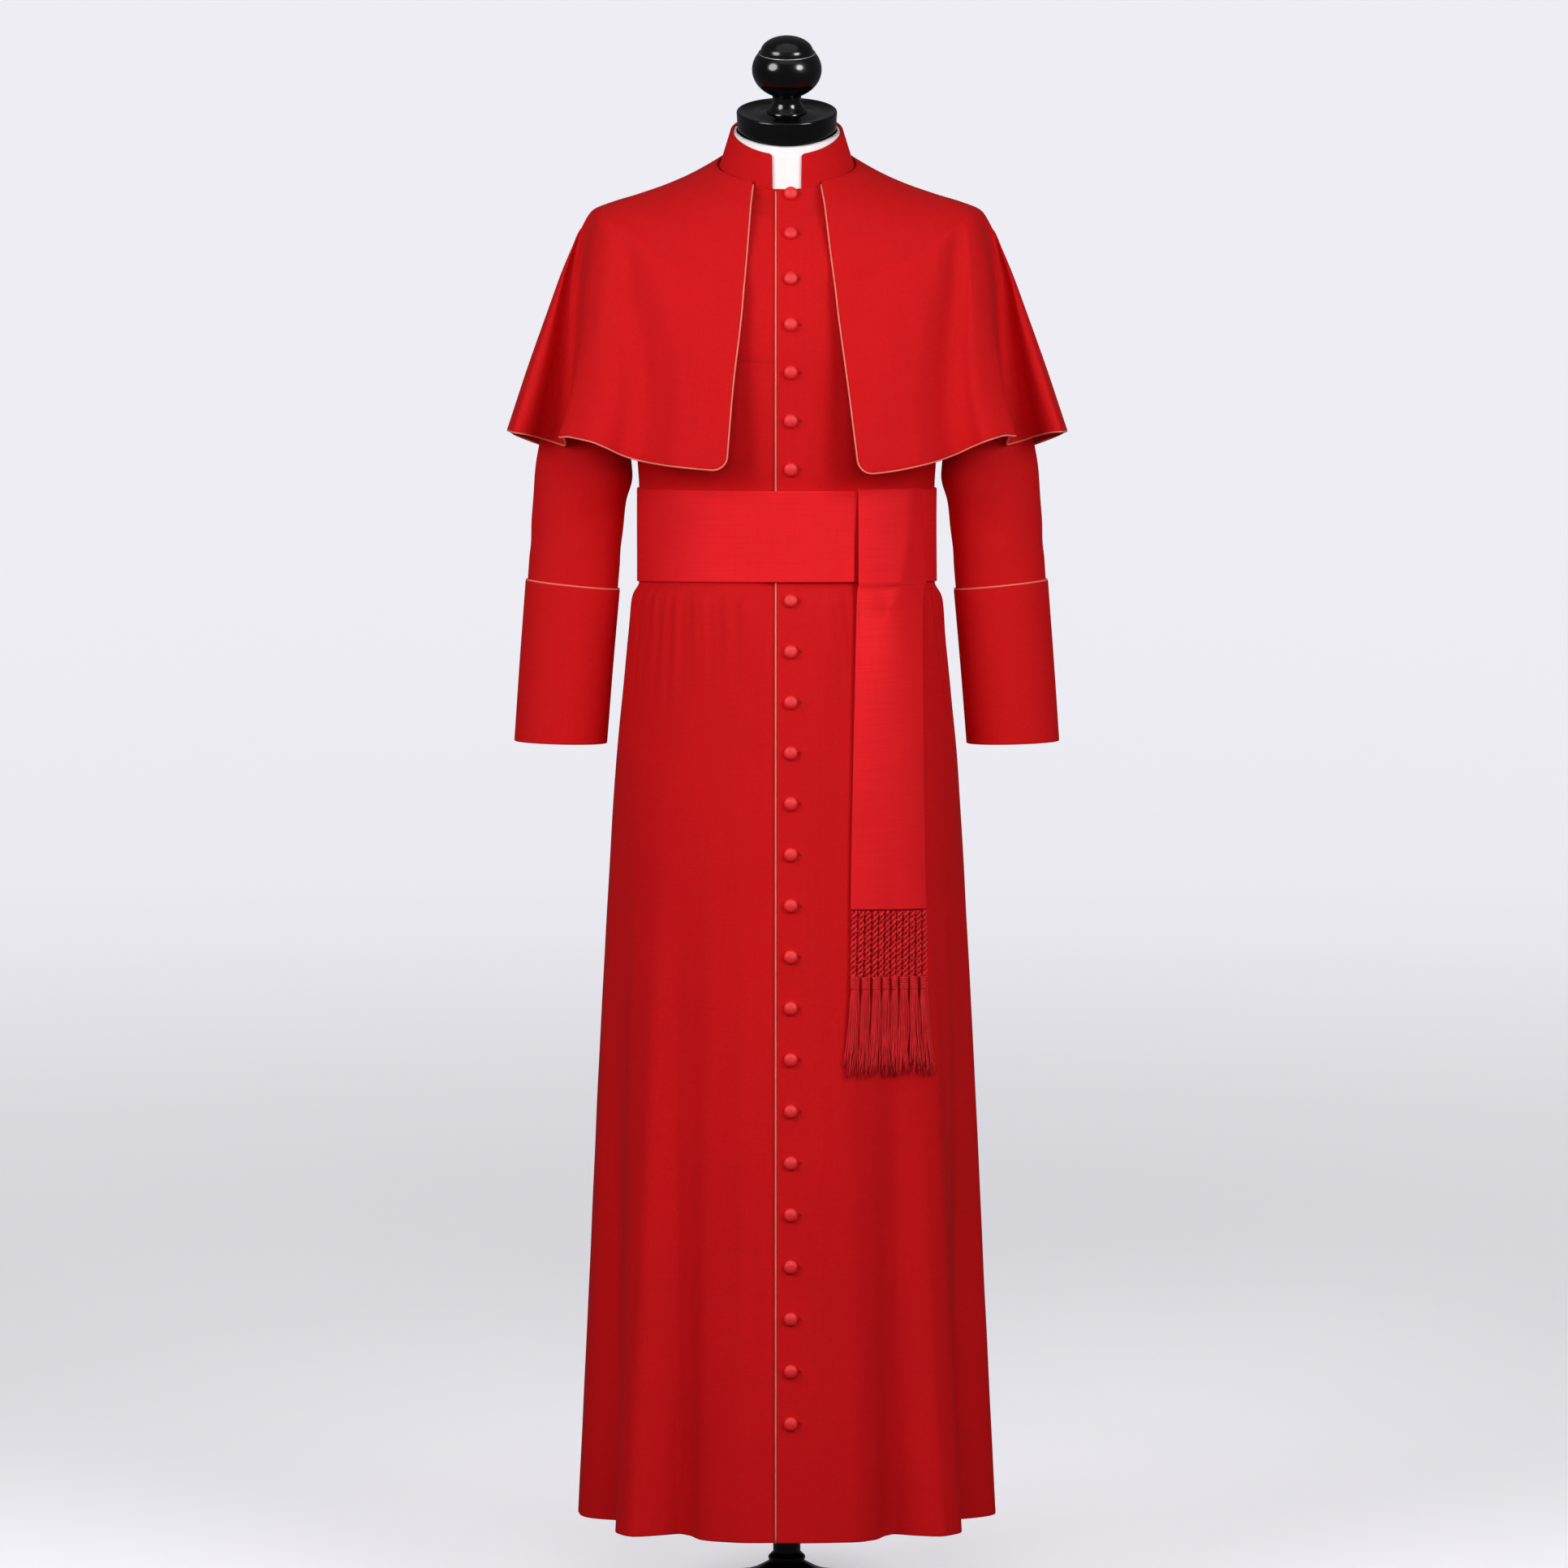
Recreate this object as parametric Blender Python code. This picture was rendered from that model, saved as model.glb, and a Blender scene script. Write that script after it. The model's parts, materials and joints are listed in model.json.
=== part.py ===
"""A cassock with a shoulder cape, turned-back cuffs and a fringed sash, worn by a limbless dress form on a stand.

Metres, +Z up. The front faces -Y, the wearer's left is +X, and the origin is on the floor under the stand.
Cloth is built as walls. A surface function gives points of the garment, and a piece of cloth lies between two
distances from that surface, so pieces that lie on each other share the same points and never cross.
"""

import math
from collections import namedtuple

import bmesh
import bpy
import numpy as np
from mathutils import Matrix, Vector

WALL = 0.0020  # thickness of the cloth
GAP = 0.0003  # room between two pieces at a seam
SEAM = math.radians(90)  # the side and shoulder seams lie straight out to each side

HEM = 0.123  # height of the skirt's hem above the floor
HEM_DIP = 0.006  # it hangs a little lower at the sides
SASH_LOW, SASH_TOP = 1.1225, 1.2225
NECK = 1.5635  # height of the neckline at the sides
NECK_LEAN = math.radians(17.5)  # the neck leans forward

# The cassock's inner face, level by level. drop is how far the front of a level lies below its sides, and rise how
# far the back lies above them, which leans the upper levels forward to meet the neck.
Level = namedtuple("Level", "height half_width front back drop rise")
BODY = [
    Level(HEM, 0.2200, 0.198, 0.213, 0.0, 0.0),
    Level(0.210, 0.2160, 0.194, 0.209, 0.0, 0.0),
    Level(0.390, 0.2077, 0.184, 0.200, 0.0, 0.0),
    Level(0.560, 0.2003, 0.175, 0.192, 0.0, 0.0),
    Level(0.740, 0.1915, 0.164, 0.180, 0.0, 0.0),
    Level(0.930, 0.1805, 0.151, 0.165, 0.0, 0.0),
    Level(1.010, 0.1725, 0.144, 0.154, 0.0, 0.0),
    Level(1.070, 0.1650, 0.137, 0.144, 0.0, 0.0),
    Level(1.106, 0.1612, 0.130, 0.135, 0.0, 0.0),
    Level(1.1225, 0.1558, 0.124, 0.128, 0.0, 0.0),
    Level(1.2225, 0.1555, 0.121, 0.125, 0.0, 0.0),
    Level(1.240, 0.1560, 0.123, 0.127, 0.0, 0.0),
    Level(1.300, 0.1615, 0.125, 0.129, 0.0, 0.0),
    Level(1.356, 0.1735, 0.126, 0.132, 0.0, 0.0),
    Level(1.440, 0.1830, 0.113, 0.128, 0.004, 0.003),
    Level(1.480, 0.1855, 0.097, 0.120, 0.007, 0.006),
    Level(1.518, 0.1850, 0.074, 0.102, 0.011, 0.009),
    Level(1.5285, 0.1520, 0.0675, 0.094, 0.014, 0.013),
    Level(1.5425, 0.1150, 0.0605, 0.085, 0.0155, 0.0165),
    Level(NECK, 0.0690, 0.055, 0.075, 0.01735, 0.0236),
]

# Soft folds of the skirt at the hem: out from the plain section (+) or in (-), by angle round from the front.
Fold = namedtuple("Fold", "angle offset")
SKIRT_FOLDS = [
    Fold(-195, 0.007),
    Fold(-180, -0.008),
    Fold(-164, 0.008),
    Fold(-148, -0.016),
    Fold(-131, 0.010),
    Fold(-113, -0.020),
    Fold(-95, 0.001),
    Fold(-81, 0.003),
    Fold(-64, -0.036),
    Fold(-50, 0.013),
    Fold(-45, 0.014),
    Fold(-31, -0.016),
    Fold(-14, 0.0),
    Fold(0, 0.0),
    Fold(16, 0.002),
    Fold(34, -0.012),
    Fold(47, 0.013),
    Fold(53, 0.011),
    Fold(67, -0.034),
    Fold(83, 0.003),
    Fold(97, 0.001),
    Fold(114, -0.021),
    Fold(132, 0.010),
    Fold(149, -0.015),
    Fold(165, 0.007),
    Fold(180, -0.008),
    Fold(196, 0.008),
]
FOLDS_START = 1.02  # height where the folds have died out
FOLD_GROWTH = 1.35  # above 1, the folds open late, towards the hem

# The armhole is an oval in the side of the body.
ARM_MIDDLE, ARM_HALF_HEIGHT, ARM_HALF_DEPTH = 1.437, 0.081, 0.061
ARM_STEPS = 6  # rows of cloth from the armpit to the shoulder
SHOULDER = ARM_MIDDLE + ARM_HALF_HEIGHT
ARMPIT = ARM_MIDDLE - ARM_HALF_HEIGHT

# Where the left front laps over the right one, as distances across from the middle of the body.
FRONT_EDGE = -0.0105
UNDERLAP_X = (-0.030, -0.0215, -0.0130, 0.010, 0.032)
LAP_START, LAP_END = -0.030, -0.013
LEFT_FRONT_X = (FRONT_EDGE, 0.010, 0.032, 0.052, 0.0686)
FRONT_COLUMNS, BACK_COLUMNS = 12, 10

# The cape's outer face, level by level from the neckline to the hem. drop and fall are how far the front and the back
# of a level lie below its sides, ease how roundly, and square how full its corners are.
CapeLevel = namedtuple("CapeLevel", "part height half_width front back drop fall ease square")
CAPE = [
    CapeLevel(0.00, 1.5662, 0.0740, 0.0605, 0.0808, 0.0190, -0.0253, 1.0, 1.00),
    CapeLevel(0.12, 1.5503, 0.1118, 0.0770, 0.0965, 0.0250, -0.0150, 1.1, 0.97),
    CapeLevel(0.27, 1.5335, 0.1600, 0.1000, 0.1120, 0.0500, -0.0060, 1.5, 0.92),
    CapeLevel(0.38, 1.5252, 0.1870, 0.1130, 0.1220, 0.0720, 0.0060, 1.8, 0.89),
    CapeLevel(0.44, 1.5165, 0.2066, 0.1220, 0.1300, 0.0800, 0.0130, 2.0, 0.87),
    CapeLevel(0.50, 1.4965, 0.2188, 0.1290, 0.1370, 0.0800, 0.0180, 2.0, 0.86),
    CapeLevel(0.60, 1.4540, 0.2371, 0.1380, 0.1460, 0.0740, 0.0240, 2.0, 0.85),
    CapeLevel(0.70, 1.4100, 0.2523, 0.1450, 0.1530, 0.0660, 0.0270, 2.0, 0.84),
    CapeLevel(0.85, 1.3440, 0.2745, 0.1530, 0.1610, 0.0530, 0.0290, 2.0, 0.84),
    CapeLevel(1.00, 1.2780, 0.2949, 0.1600, 0.1690, 0.0390, 0.0300, 2.0, 0.84),
]
# The cape's hem: folds out or in from the plain section, and how much higher or lower the hem hangs there.
HemFold = namedtuple("HemFold", "angle offset lift")
CAPE_FOLDS_RIGHT = [
    HemFold(0, 0.0, 0.004),
    HemFold(18, 0.004, 0.005),
    HemFold(30, -0.010, 0.008),
    HemFold(40, 0.000, 0.018),
    HemFold(53, 0.000, 0.015),
    HemFold(71, -0.050, 0.003),
    HemFold(88, 0.000, 0.006),
    HemFold(106, -0.030, -0.011),
    HemFold(122, 0.006, 0.001),
    HemFold(139, -0.020, -0.003),
    HemFold(155, 0.006, 0.001),
    HemFold(170, -0.010, -0.002),
    HemFold(180, -0.007, 0.0),
    HemFold(190, -0.010, -0.002),
]
CAPE_FOLDS_LEFT = [
    HemFold(0, 0.0, 0.0),
    HemFold(20, 0.003, 0.003),
    HemFold(33, -0.006, 0.010),
    HemFold(41, -0.014, 0.018),
    HemFold(53, 0.002, 0.015),
    HemFold(71, -0.048, 0.004),
    HemFold(88, 0.001, 0.006),
    HemFold(107, -0.028, -0.011),
    HemFold(123, 0.006, 0.001),
    HemFold(140, -0.021, -0.003),
    HemFold(156, 0.005, 0.001),
    HemFold(170, -0.009, -0.002),
    HemFold(180, -0.007, 0.0),
    HemFold(191, -0.009, -0.002),
]
CAPE_FOLDS_START = 0.46
CAPE_CORNER = 0.020  # radius of the rounded front corners
CapeEdge = namedtuple("CapeEdge", "part right left")  # distances of the front edges from the middle
CAPE_EDGES = [
    CapeEdge(0.00, 0.0360, 0.0390),
    CapeEdge(0.50, 0.0470, 0.0530),
    CapeEdge(0.75, 0.0570, 0.0650),
    CapeEdge(1.00, 0.0640, 0.0760),
]
CAPE_ROWS = (0.0, 0.06, 0.14, 0.24, 0.33, 0.39, 0.44, 0.51, 0.62, 0.75, 0.88, 0.945, 0.982, 1.0)
CAPE_COLUMNS = 20

# The sleeve, ring by ring below the armhole: where its outer and inner edges hang, and its depth.
SleeveRing = namedtuple("SleeveRing", "outer_x outer_z inner_x inner_z half_depth centre_y")
SLEEVE = [
    SleeveRing(0.1970, 1.5130, 0.1820, 1.3520, 0.0590, 0.004),
    SleeveRing(0.2080, 1.4990, 0.1835, 1.3450, 0.0570, 0.006),
    SleeveRing(0.2255, 1.4560, 0.1825, 1.3280, 0.0530, 0.009),
    SleeveRing(0.2420, 1.4000, 0.1780, 1.3050, 0.0495, 0.010),
    SleeveRing(0.2550, 1.3350, 0.1735, 1.2700, 0.0475, 0.010),
    SleeveRing(0.2640, 1.2720, 0.1705, 1.2400, 0.0465, 0.008),
    SleeveRing(0.2705, 1.2150, 0.1715, 1.2080, 0.0455, 0.006),
    SleeveRing(0.2740, 1.1650, 0.1765, 1.1600, 0.0445, 0.003),
]
CUFF = [
    SleeveRing(0.2768, 1.1235, 0.1806, 1.1135, 0.0435, 0.000),
    SleeveRing(0.2835, 1.0350, 0.1880, 1.0300, 0.0420, -0.003),
    SleeveRing(0.2893, 0.9520, 0.1945, 0.9495, 0.0400, -0.005),
]

COLLAR_HEIGHT, COLLAR_DIP = 0.0405, 0.0060  # the red band stands lower in front
COLLAR_FOOT = (0.0685, 0.0572, 0.0782)  # half width, front and back of its inner face at the neckline
COLLAR_TOP = (0.0562, 0.0500, 0.0600)  # and at its top edge
COLLAR_NOTCH = 0.0142  # half the width of the opening in front
COLLAR_SEAT = WALL + GAP  # it stands on the neckline's edge
COLLAR_WALL = 0.0030
INSERT_HEIGHT, INSERT_RISE = 0.0420, 0.0040  # it stands higher in front

BUTTON_RADIUS, BUTTON_HEIGHT = 0.0078, 0.0052
BUTTON_X = 0.0040
Buttons = namedtuple("Buttons", "first count space grow")  # each space is a little wider than the last
UPPER_BUTTONS = Buttons(1.5480, 7, 0.0505, 0.0)
LOWER_BUTTONS = Buttons(1.1071, 17, 0.0522, 0.00009)

TAIL_TOP_X, TAIL_END_X = (0.0722, 0.1354), (0.0643, 0.1410)  # the hanging end's edges, at the sash and at its end
TAIL_END, NET_END, FRINGE_END = 0.7855, 0.7110, 0.6150
TAIL_STANDOFF = 2 * WALL + 4 * GAP
TAIL_COLUMNS = 6
TASSELS, STRANDS_PER_TASSEL = 8, 3
STRAND_HALF = 0.0008

PIPING_RADIUS = 0.00095

POLE_RADIUS, FORM_FOOT, BASE_NECK = 0.0148, 0.930, 0.0700
BLOCK_SEAT = GAP  # of the neck block, above the body's top
DISH = 0.0552  # height of the hollow in its top

RED = (0.53, 0.010, 0.014)
SILK_RED = (0.64, 0.016, 0.028)
PIPING_RED = (0.80, 0.16, 0.12)
WHITE = (0.90, 0.89, 0.87)
LACQUER = (0.010, 0.010, 0.011)
LINEN = (0.70, 0.64, 0.54)


# ---------------------------------------------------------------- reading the tables

def read(table, column, at):
    """A table's column at any value of its first column, as a smooth curve with no overshoot."""
    xs = np.array([row[0] for row in table], float)
    ys = np.array([getattr(row, column) for row in table], float)
    width = np.diff(xs)
    slope = np.diff(ys) / width
    tangent = np.zeros(len(xs))
    same = slope[:-1] * slope[1:] > 0
    near, far = 2 * width[1:] + width[:-1], width[1:] + 2 * width[:-1]
    inner = np.zeros(len(slope) - 1)
    inner[same] = (near + far)[same] / (near[same] / slope[:-1][same] + far[same] / slope[1:][same])
    tangent[1:-1] = inner
    tangent[0], tangent[-1] = slope[0], slope[-1]
    at = np.clip(np.asarray(at, float), xs[0], xs[-1])
    i = np.clip(np.searchsorted(xs, at, side="right") - 1, 0, len(slope) - 1)
    t = (at - xs[i]) / width[i]
    return (
        (1 + 2 * t) * (1 - t) ** 2 * ys[i]
        + t * (1 - t) ** 2 * width[i] * tangent[i]
        + t * t * (3 - 2 * t) * ys[i + 1]
        + t * t * (t - 1) * width[i] * tangent[i + 1]
    )


def ease(value):
    """0 up to 0 and 1 from 1, with a soft start and end."""
    value = np.clip(value, 0, 1)
    return value * value * (3 - 2 * value)


# ---------------------------------------------------------------- the garment's surfaces

def body(angle, height):
    """A point of the cassock's inner face. angle runs round from the front, and height is the level's at the sides."""
    angle, height = np.broadcast_arrays(np.asarray(angle, float), np.asarray(height, float))
    side, ahead = np.sin(angle), np.cos(angle)
    depth = np.where(ahead > 0, read(BODY, "front", height), read(BODY, "back", height))
    x, y = read(BODY, "half_width", height) * side, -depth * ahead
    opened = np.clip((FOLDS_START - height) / (FOLDS_START - HEM), 0, 1) ** FOLD_GROWTH
    fold = opened * read(SKIRT_FOLDS, "offset", np.degrees(angle))
    radius = np.hypot(x, y)
    x, y = x * (1 + fold / radius), y * (1 + fold / radius)
    lean = np.where(ahead > 0, read(BODY, "drop", height), read(BODY, "rise", height))
    z = height - lean * ahead - HEM_DIP * opened * side**2
    return np.stack([x, y, z], axis=-1)


def cape(angle, part):
    """A point of the cape's outer face. part runs from 0 at the neckline to 1 at the hem."""
    angle, part = np.broadcast_arrays(np.asarray(angle, float), np.asarray(part, float))
    side, ahead = np.sin(angle), np.cos(angle)
    square = read(CAPE, "square", part)
    across = np.sign(side) * np.abs(side) ** square
    along = np.sign(ahead) * np.abs(ahead) ** square
    depth = np.where(ahead > 0, read(CAPE, "front", part), read(CAPE, "back", part))
    x, y = read(CAPE, "half_width", part) * across, -depth * along
    degrees = np.degrees(np.abs(angle))
    opened = np.clip((part - CAPE_FOLDS_START) / (1 - CAPE_FOLDS_START), 0, 1)
    folds = {
        column: np.where(side < 0, read(CAPE_FOLDS_RIGHT, column, degrees), read(CAPE_FOLDS_LEFT, column, degrees))
        for column in ("offset", "lift")
    }
    radius = np.hypot(x, y)
    grow = 1 + opened**1.1 * folds["offset"] / radius
    sink = np.where(ahead > 0, read(CAPE, "drop", part), read(CAPE, "fall", part))
    z = read(CAPE, "height", part) - sink * np.abs(ahead) ** read(CAPE, "ease", part) + opened**2 * folds["lift"]
    return np.stack([x * grow, y * grow, z], axis=-1)


def neck(angle, half_width, front, back, rise):
    """A point round the leaning neck, rise above the neckline."""
    angle, rise = np.broadcast_arrays(np.asarray(angle, float), np.asarray(rise, float))
    side, ahead = np.sin(angle), np.cos(angle)
    forward = np.where(ahead > 0, front, back) * ahead
    return np.stack(
        [
            half_width * side,
            -forward * math.cos(NECK_LEAN) - rise * math.sin(NECK_LEAN),
            NECK - forward * math.sin(NECK_LEAN) + rise * math.cos(NECK_LEAN),
        ],
        axis=-1,
    )


def outward(surface, first, second):
    """The direction out of a surface function at each of its points."""
    step = 1e-4
    along_first = surface(first + step, second) - surface(first - step, second)
    along_second = surface(first, second + step) - surface(first, second - step)
    across = np.cross(along_first, along_second)
    return across / np.linalg.norm(across, axis=-1, keepdims=True)


def off_body(angle, height, distance):
    """Points of the body surface, moved out by a distance."""
    distance = np.broadcast_to(distance, np.shape(angle))[..., None]
    return body(angle, height) + outward(body, angle, height) * distance


def off_cape(angle, part, distance):
    """Points of the cape's face, moved out by a distance. Downwards is forwards there, so the sign turns."""
    distance = np.broadcast_to(distance, np.shape(angle))[..., None]
    return cape(angle, part) - outward(cape, angle, part) * distance


def angle_at(x, height):
    """The angle round the body where the plain section is x across."""
    return np.arcsin(np.clip(x / read(BODY, "half_width", height), -1, 1))


# ---------------------------------------------------------------- making objects

def finish(name, color, roughness):
    found = bpy.data.materials.get(name)
    if found:
        return found
    made = bpy.data.materials.new(name)
    made.use_nodes = True
    shader = made.node_tree.nodes["Principled BSDF"]
    shader.inputs["Base Color"].default_value = (*color, 1)
    shader.inputs["Roughness"].default_value = roughness
    shader.inputs["Metallic"].default_value = 0.0
    made.diffuse_color = (*color, 1)
    return made


def wool():
    return finish("wool", RED, 0.85)


def silk():
    return finish("silk", SILK_RED, 0.6)


def piping_cord():
    return finish("piping", PIPING_RED, 0.6)


def lacquer():
    return finish("lacquer", LACQUER, 0.15)


def add(name, bm, material, matrix=None):
    mesh = bpy.data.meshes.new(name)
    bm.to_mesh(mesh)
    bm.free()
    mesh.materials.append(material)
    mesh.shade_smooth()
    mesh.set_sharp_from_angle(angle=math.radians(50))
    obj = bpy.data.objects.new(name, mesh)
    bpy.context.scene.collection.objects.link(obj)
    if matrix is not None:
        obj.matrix_world = matrix
    return obj


def strip(bm, first, second):
    """Triangles between two rows of vertices of the same length."""
    for a, b, c, d in zip(first[:-1], first[1:], second[1:], second[:-1]):
        bm.faces.new((a, b, c))
        bm.faces.new((a, c, d))


def wall(name, inner, outer, material, closed=False):
    """A sheet of cloth between two grids of points, with its edges closed. A closed one is a tube."""
    bm = bmesh.new()
    sides = []
    for grid in (inner, outer):
        rows = [[bm.verts.new(p) for p in row] for row in grid]
        if closed:
            rows = [row + row[:1] for row in rows]
        sides.append(rows)
    inside, outside = sides
    for low, high in zip(outside[:-1], outside[1:]):
        strip(bm, low, high)
    for low, high in zip(inside[:-1], inside[1:]):
        strip(bm, high[::-1], low[::-1])
    strip(bm, inside[0], outside[0])
    strip(bm, outside[-1], inside[-1])
    if not closed:
        strip(bm, [row[0] for row in outside], [row[0] for row in inside])
        strip(bm, [row[-1] for row in inside], [row[-1] for row in outside])
    return face_out(name, bm, material)


def face_out(name, bm, material, matrix=None):
    bmesh.ops.recalc_face_normals(bm, faces=bm.faces)
    if bm.calc_volume(signed=True) < 0:
        bmesh.ops.reverse_faces(bm, faces=bm.faces)
    return add(name, bm, material, matrix)


def turned(name, profile, steps, material, matrix=None):
    """A solid turned on a lathe from (radius, height) points that start and end on the axis."""
    bm = bmesh.new()
    points = [bm.verts.new((radius, 0, height)) for radius, height in profile]
    edges = [bm.edges.new(pair) for pair in zip(points[:-1], points[1:])]
    bmesh.ops.spin(
        bm, geom=points + edges, cent=(0, 0, 0), axis=(0, 0, 1), angle=math.tau, steps=steps, use_merge=True
    )
    bmesh.ops.remove_doubles(bm, verts=bm.verts, dist=1e-6)
    return face_out(name, bm, material, matrix)


def piping(name, path, radius=PIPING_RADIUS, closed=False):
    """A thin cord through a path's points."""
    curve = bpy.data.curves.new(name, "CURVE")
    curve.dimensions = "3D"
    curve.bevel_depth = radius
    curve.bevel_resolution = 0
    curve.use_fill_caps = not closed
    line = curve.splines.new("POLY")
    line.points.add(len(path) - 1)
    for point, place in zip(line.points, path):
        point.co = (*place, 1)
    line.use_cyclic_u = closed
    curve.materials.append(piping_cord())
    obj = bpy.data.objects.new(name, curve)
    bpy.context.scene.collection.objects.link(obj)
    return obj


# ---------------------------------------------------------------- rows and columns of cloth

def body_rows():
    """Heights of the rows of the body's cloth, from the hem to the neckline."""
    skirt = [HEM, 0.25, 0.40, 0.56, 0.72, 0.88, 1.02, 1.08, 1.106, SASH_LOW, SASH_TOP, 1.24, 1.30]
    steps = np.linspace(math.pi, 0, ARM_STEPS + 1)
    return np.array(skirt + [ARM_MIDDLE + ARM_HALF_HEIGHT * math.cos(step) for step in steps] + [1.5285, 1.5425, NECK])


def even_arc(start, end, count):
    """Shares from 0 to 1 that divide the hem between two angles into equal lengths."""
    angles = np.linspace(start, end, 400)
    points = body(angles, np.full(400, HEM))
    length = np.concatenate([[0], np.cumsum(np.linalg.norm(np.diff(points, axis=0), axis=1))])
    return (np.interp(np.linspace(0, length[-1], count + 1), length, angles) - start) / (end - start)


def armhole_angle(height, behind):
    """The angle round the body where the armhole's edge runs, or the side seam where there is no armhole."""
    share = np.clip(1 - ((height - ARM_MIDDLE) / ARM_HALF_HEIGHT) ** 2, 0, 1)
    half_depth = ARM_HALF_DEPTH * np.sqrt(share)
    depth = read(BODY, "back" if behind else "front", height)
    return np.pi / 2 + (1 if behind else -1) * np.arcsin(half_depth / depth)


def seam_shift(height):
    """Half of a seam's gap, as an angle."""
    return GAP / 2 / read(BODY, "half_width", height)


def left_front_angles(rows, whole=False):
    """Angles of the left front's columns in each row. A whole row runs on over the armhole, to the seam."""
    edge = SEAM + 0 * rows if whole else armhole_angle(rows, behind=False) - seam_shift(rows)
    marks = np.stack([angle_at(x, rows) for x in LEFT_FRONT_X], axis=1)
    start = angle_at(LEFT_FRONT_X[-1], HEM)
    shares = even_arc(float(start), SEAM, FRONT_COLUMNS)[1:]
    return np.concatenate([marks, marks[:, -1:] + (edge[:, None] - marks[:, -1:]) * shares], axis=1)


def right_front_angles(rows, whole=False, underlap=True):
    edge = -SEAM + 0 * rows if whole else -armhole_angle(rows, behind=False) + seam_shift(rows)
    marks = np.stack([angle_at(x, rows) for x in UNDERLAP_X], axis=1)
    start = angle_at(UNDERLAP_X[0], HEM)
    shares = even_arc(-SEAM, float(start), FRONT_COLUMNS)[:-1]
    main = edge[:, None] + (marks[:, :1] - edge[:, None]) * shares
    return np.concatenate([main, marks if underlap else marks[:, :1]], axis=1)


def back_angles(rows, whole=False):
    """The left back's columns, from the side to the middle of the back. The right back mirrors them."""
    edge = SEAM + 0 * rows if whole else armhole_angle(rows, behind=True) + seam_shift(rows)
    middle = np.pi - (0 if whole else seam_shift(rows))
    shares = even_arc(SEAM, math.pi, BACK_COLUMNS)
    return edge[:, None] + (middle - edge)[:, None] * shares


def round_angles(rows):
    """Every column round the body in each row, from the middle of the back to the middle of the back."""
    back = back_angles(rows, whole=True)
    return np.concatenate(
        [
            -back[:, :0:-1],
            right_front_angles(rows, whole=True, underlap=False),
            left_front_angles(rows, whole=True),
            back[:, 1:-1],
        ],
        axis=1,
    )


# ---------------------------------------------------------------- the cassock

def make_fronts_and_backs():
    rows = body_rows()
    levels = rows[:, None]
    left = left_front_angles(rows)
    wall("front_left", body(left, levels), off_body(left, levels, WALL), wool())
    right = right_front_angles(rows)
    x = body(right, levels)[..., 0]
    sunk = (WALL + GAP) * ease((x - LAP_START) / (LAP_END - LAP_START))
    wall("front_right", off_body(right, levels, -sunk), off_body(right, levels, WALL - sunk), wool())
    back = back_angles(rows)
    wall("back_left", body(back, levels), off_body(back, levels, WALL), wool())
    mirrored = -back[:, ::-1]
    wall("back_right", body(mirrored, levels), off_body(mirrored, levels, WALL), wool())


def make_front_piping():
    rows = body_rows()[:-1]
    lift = WALL * 0.65
    aside = GAP + PIPING_RADIUS
    path = off_body(angle_at(FRONT_EDGE, rows), rows, lift) - [aside, 0, 0]
    piping("piping_front", path)


def armhole_ring():
    """The armhole's edge, a hair inside the cloth round it, from the shoulder round by the front."""
    turn = np.arange(2 * ARM_STEPS) * math.pi / ARM_STEPS
    height = ARM_MIDDLE + (ARM_HALF_HEIGHT - 2 * GAP) * np.cos(turn)
    depth = (ARM_HALF_DEPTH - 2 * GAP) * np.sin(turn)
    room = read(BODY, "front", height), read(BODY, "back", height)
    angle = np.where(depth > 0, np.pi / 2 - np.arcsin(depth / room[0]), np.pi / 2 - np.arcsin(depth / room[1]))
    return off_body(angle, height, WALL)


def sleeve_rings(table):
    """Rings of points down the left sleeve, each from its outer edge round by the front."""
    turn = np.arange(2 * ARM_STEPS) * math.pi / ARM_STEPS
    rings = []
    for row in table:
        middle = np.array([(row.outer_x + row.inner_x) / 2, row.centre_y, (row.outer_z + row.inner_z) / 2])
        reach = np.array([(row.outer_x - row.inner_x) / 2, 0, (row.outer_z - row.inner_z) / 2])
        front = np.array([0, -row.half_depth, 0])
        rings.append(middle + np.cos(turn)[:, None] * reach + np.sin(turn)[:, None] * front)
    return rings


def tube_outward(rings):
    """Directions out of a tube, from its neighbouring rings and points."""
    around = np.roll(rings, -1, axis=1) - np.roll(rings, 1, axis=1)
    along = np.gradient(rings, axis=0)
    across = np.cross(along, around)
    across /= np.linalg.norm(across, axis=-1, keepdims=True)
    middle = rings.mean(axis=1, keepdims=True)
    return across * np.sign((across * (rings - middle)).sum(axis=-1, keepdims=True))


def make_sleeves():
    rings = np.array([armhole_ring()] + sleeve_rings(SLEEVE + CUFF))
    out = tube_outward(rings)
    cuff, cuff_out = rings[-len(CUFF) :], out[-len(CUFF) :]
    near, far = GAP, GAP + WALL
    top = cuff[0] + cuff_out[0] * (near + far) / 2 + np.array([0, 0, GAP + PIPING_RADIUS])
    for side, mirror in (("left", 1), ("right", -1)):
        turn = np.array([mirror, 1, 1])
        wall(f"sleeve_{side}", (rings - out * WALL) * turn, rings * turn, wool(), closed=True)
        wall(f"cuff_{side}", (cuff + cuff_out * near) * turn, (cuff + cuff_out * far) * turn, wool(), closed=True)
        piping(f"piping_cuff_{side}", top * turn, closed=True)


def collar_angles(rise):
    """Angles of the collar's columns round the neck, from one side of its notch to the other."""
    start = np.arcsin(COLLAR_NOTCH / collar_size(0, rise))
    return start + (math.tau - 2 * start) * np.linspace(0, 1, 21)


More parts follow.
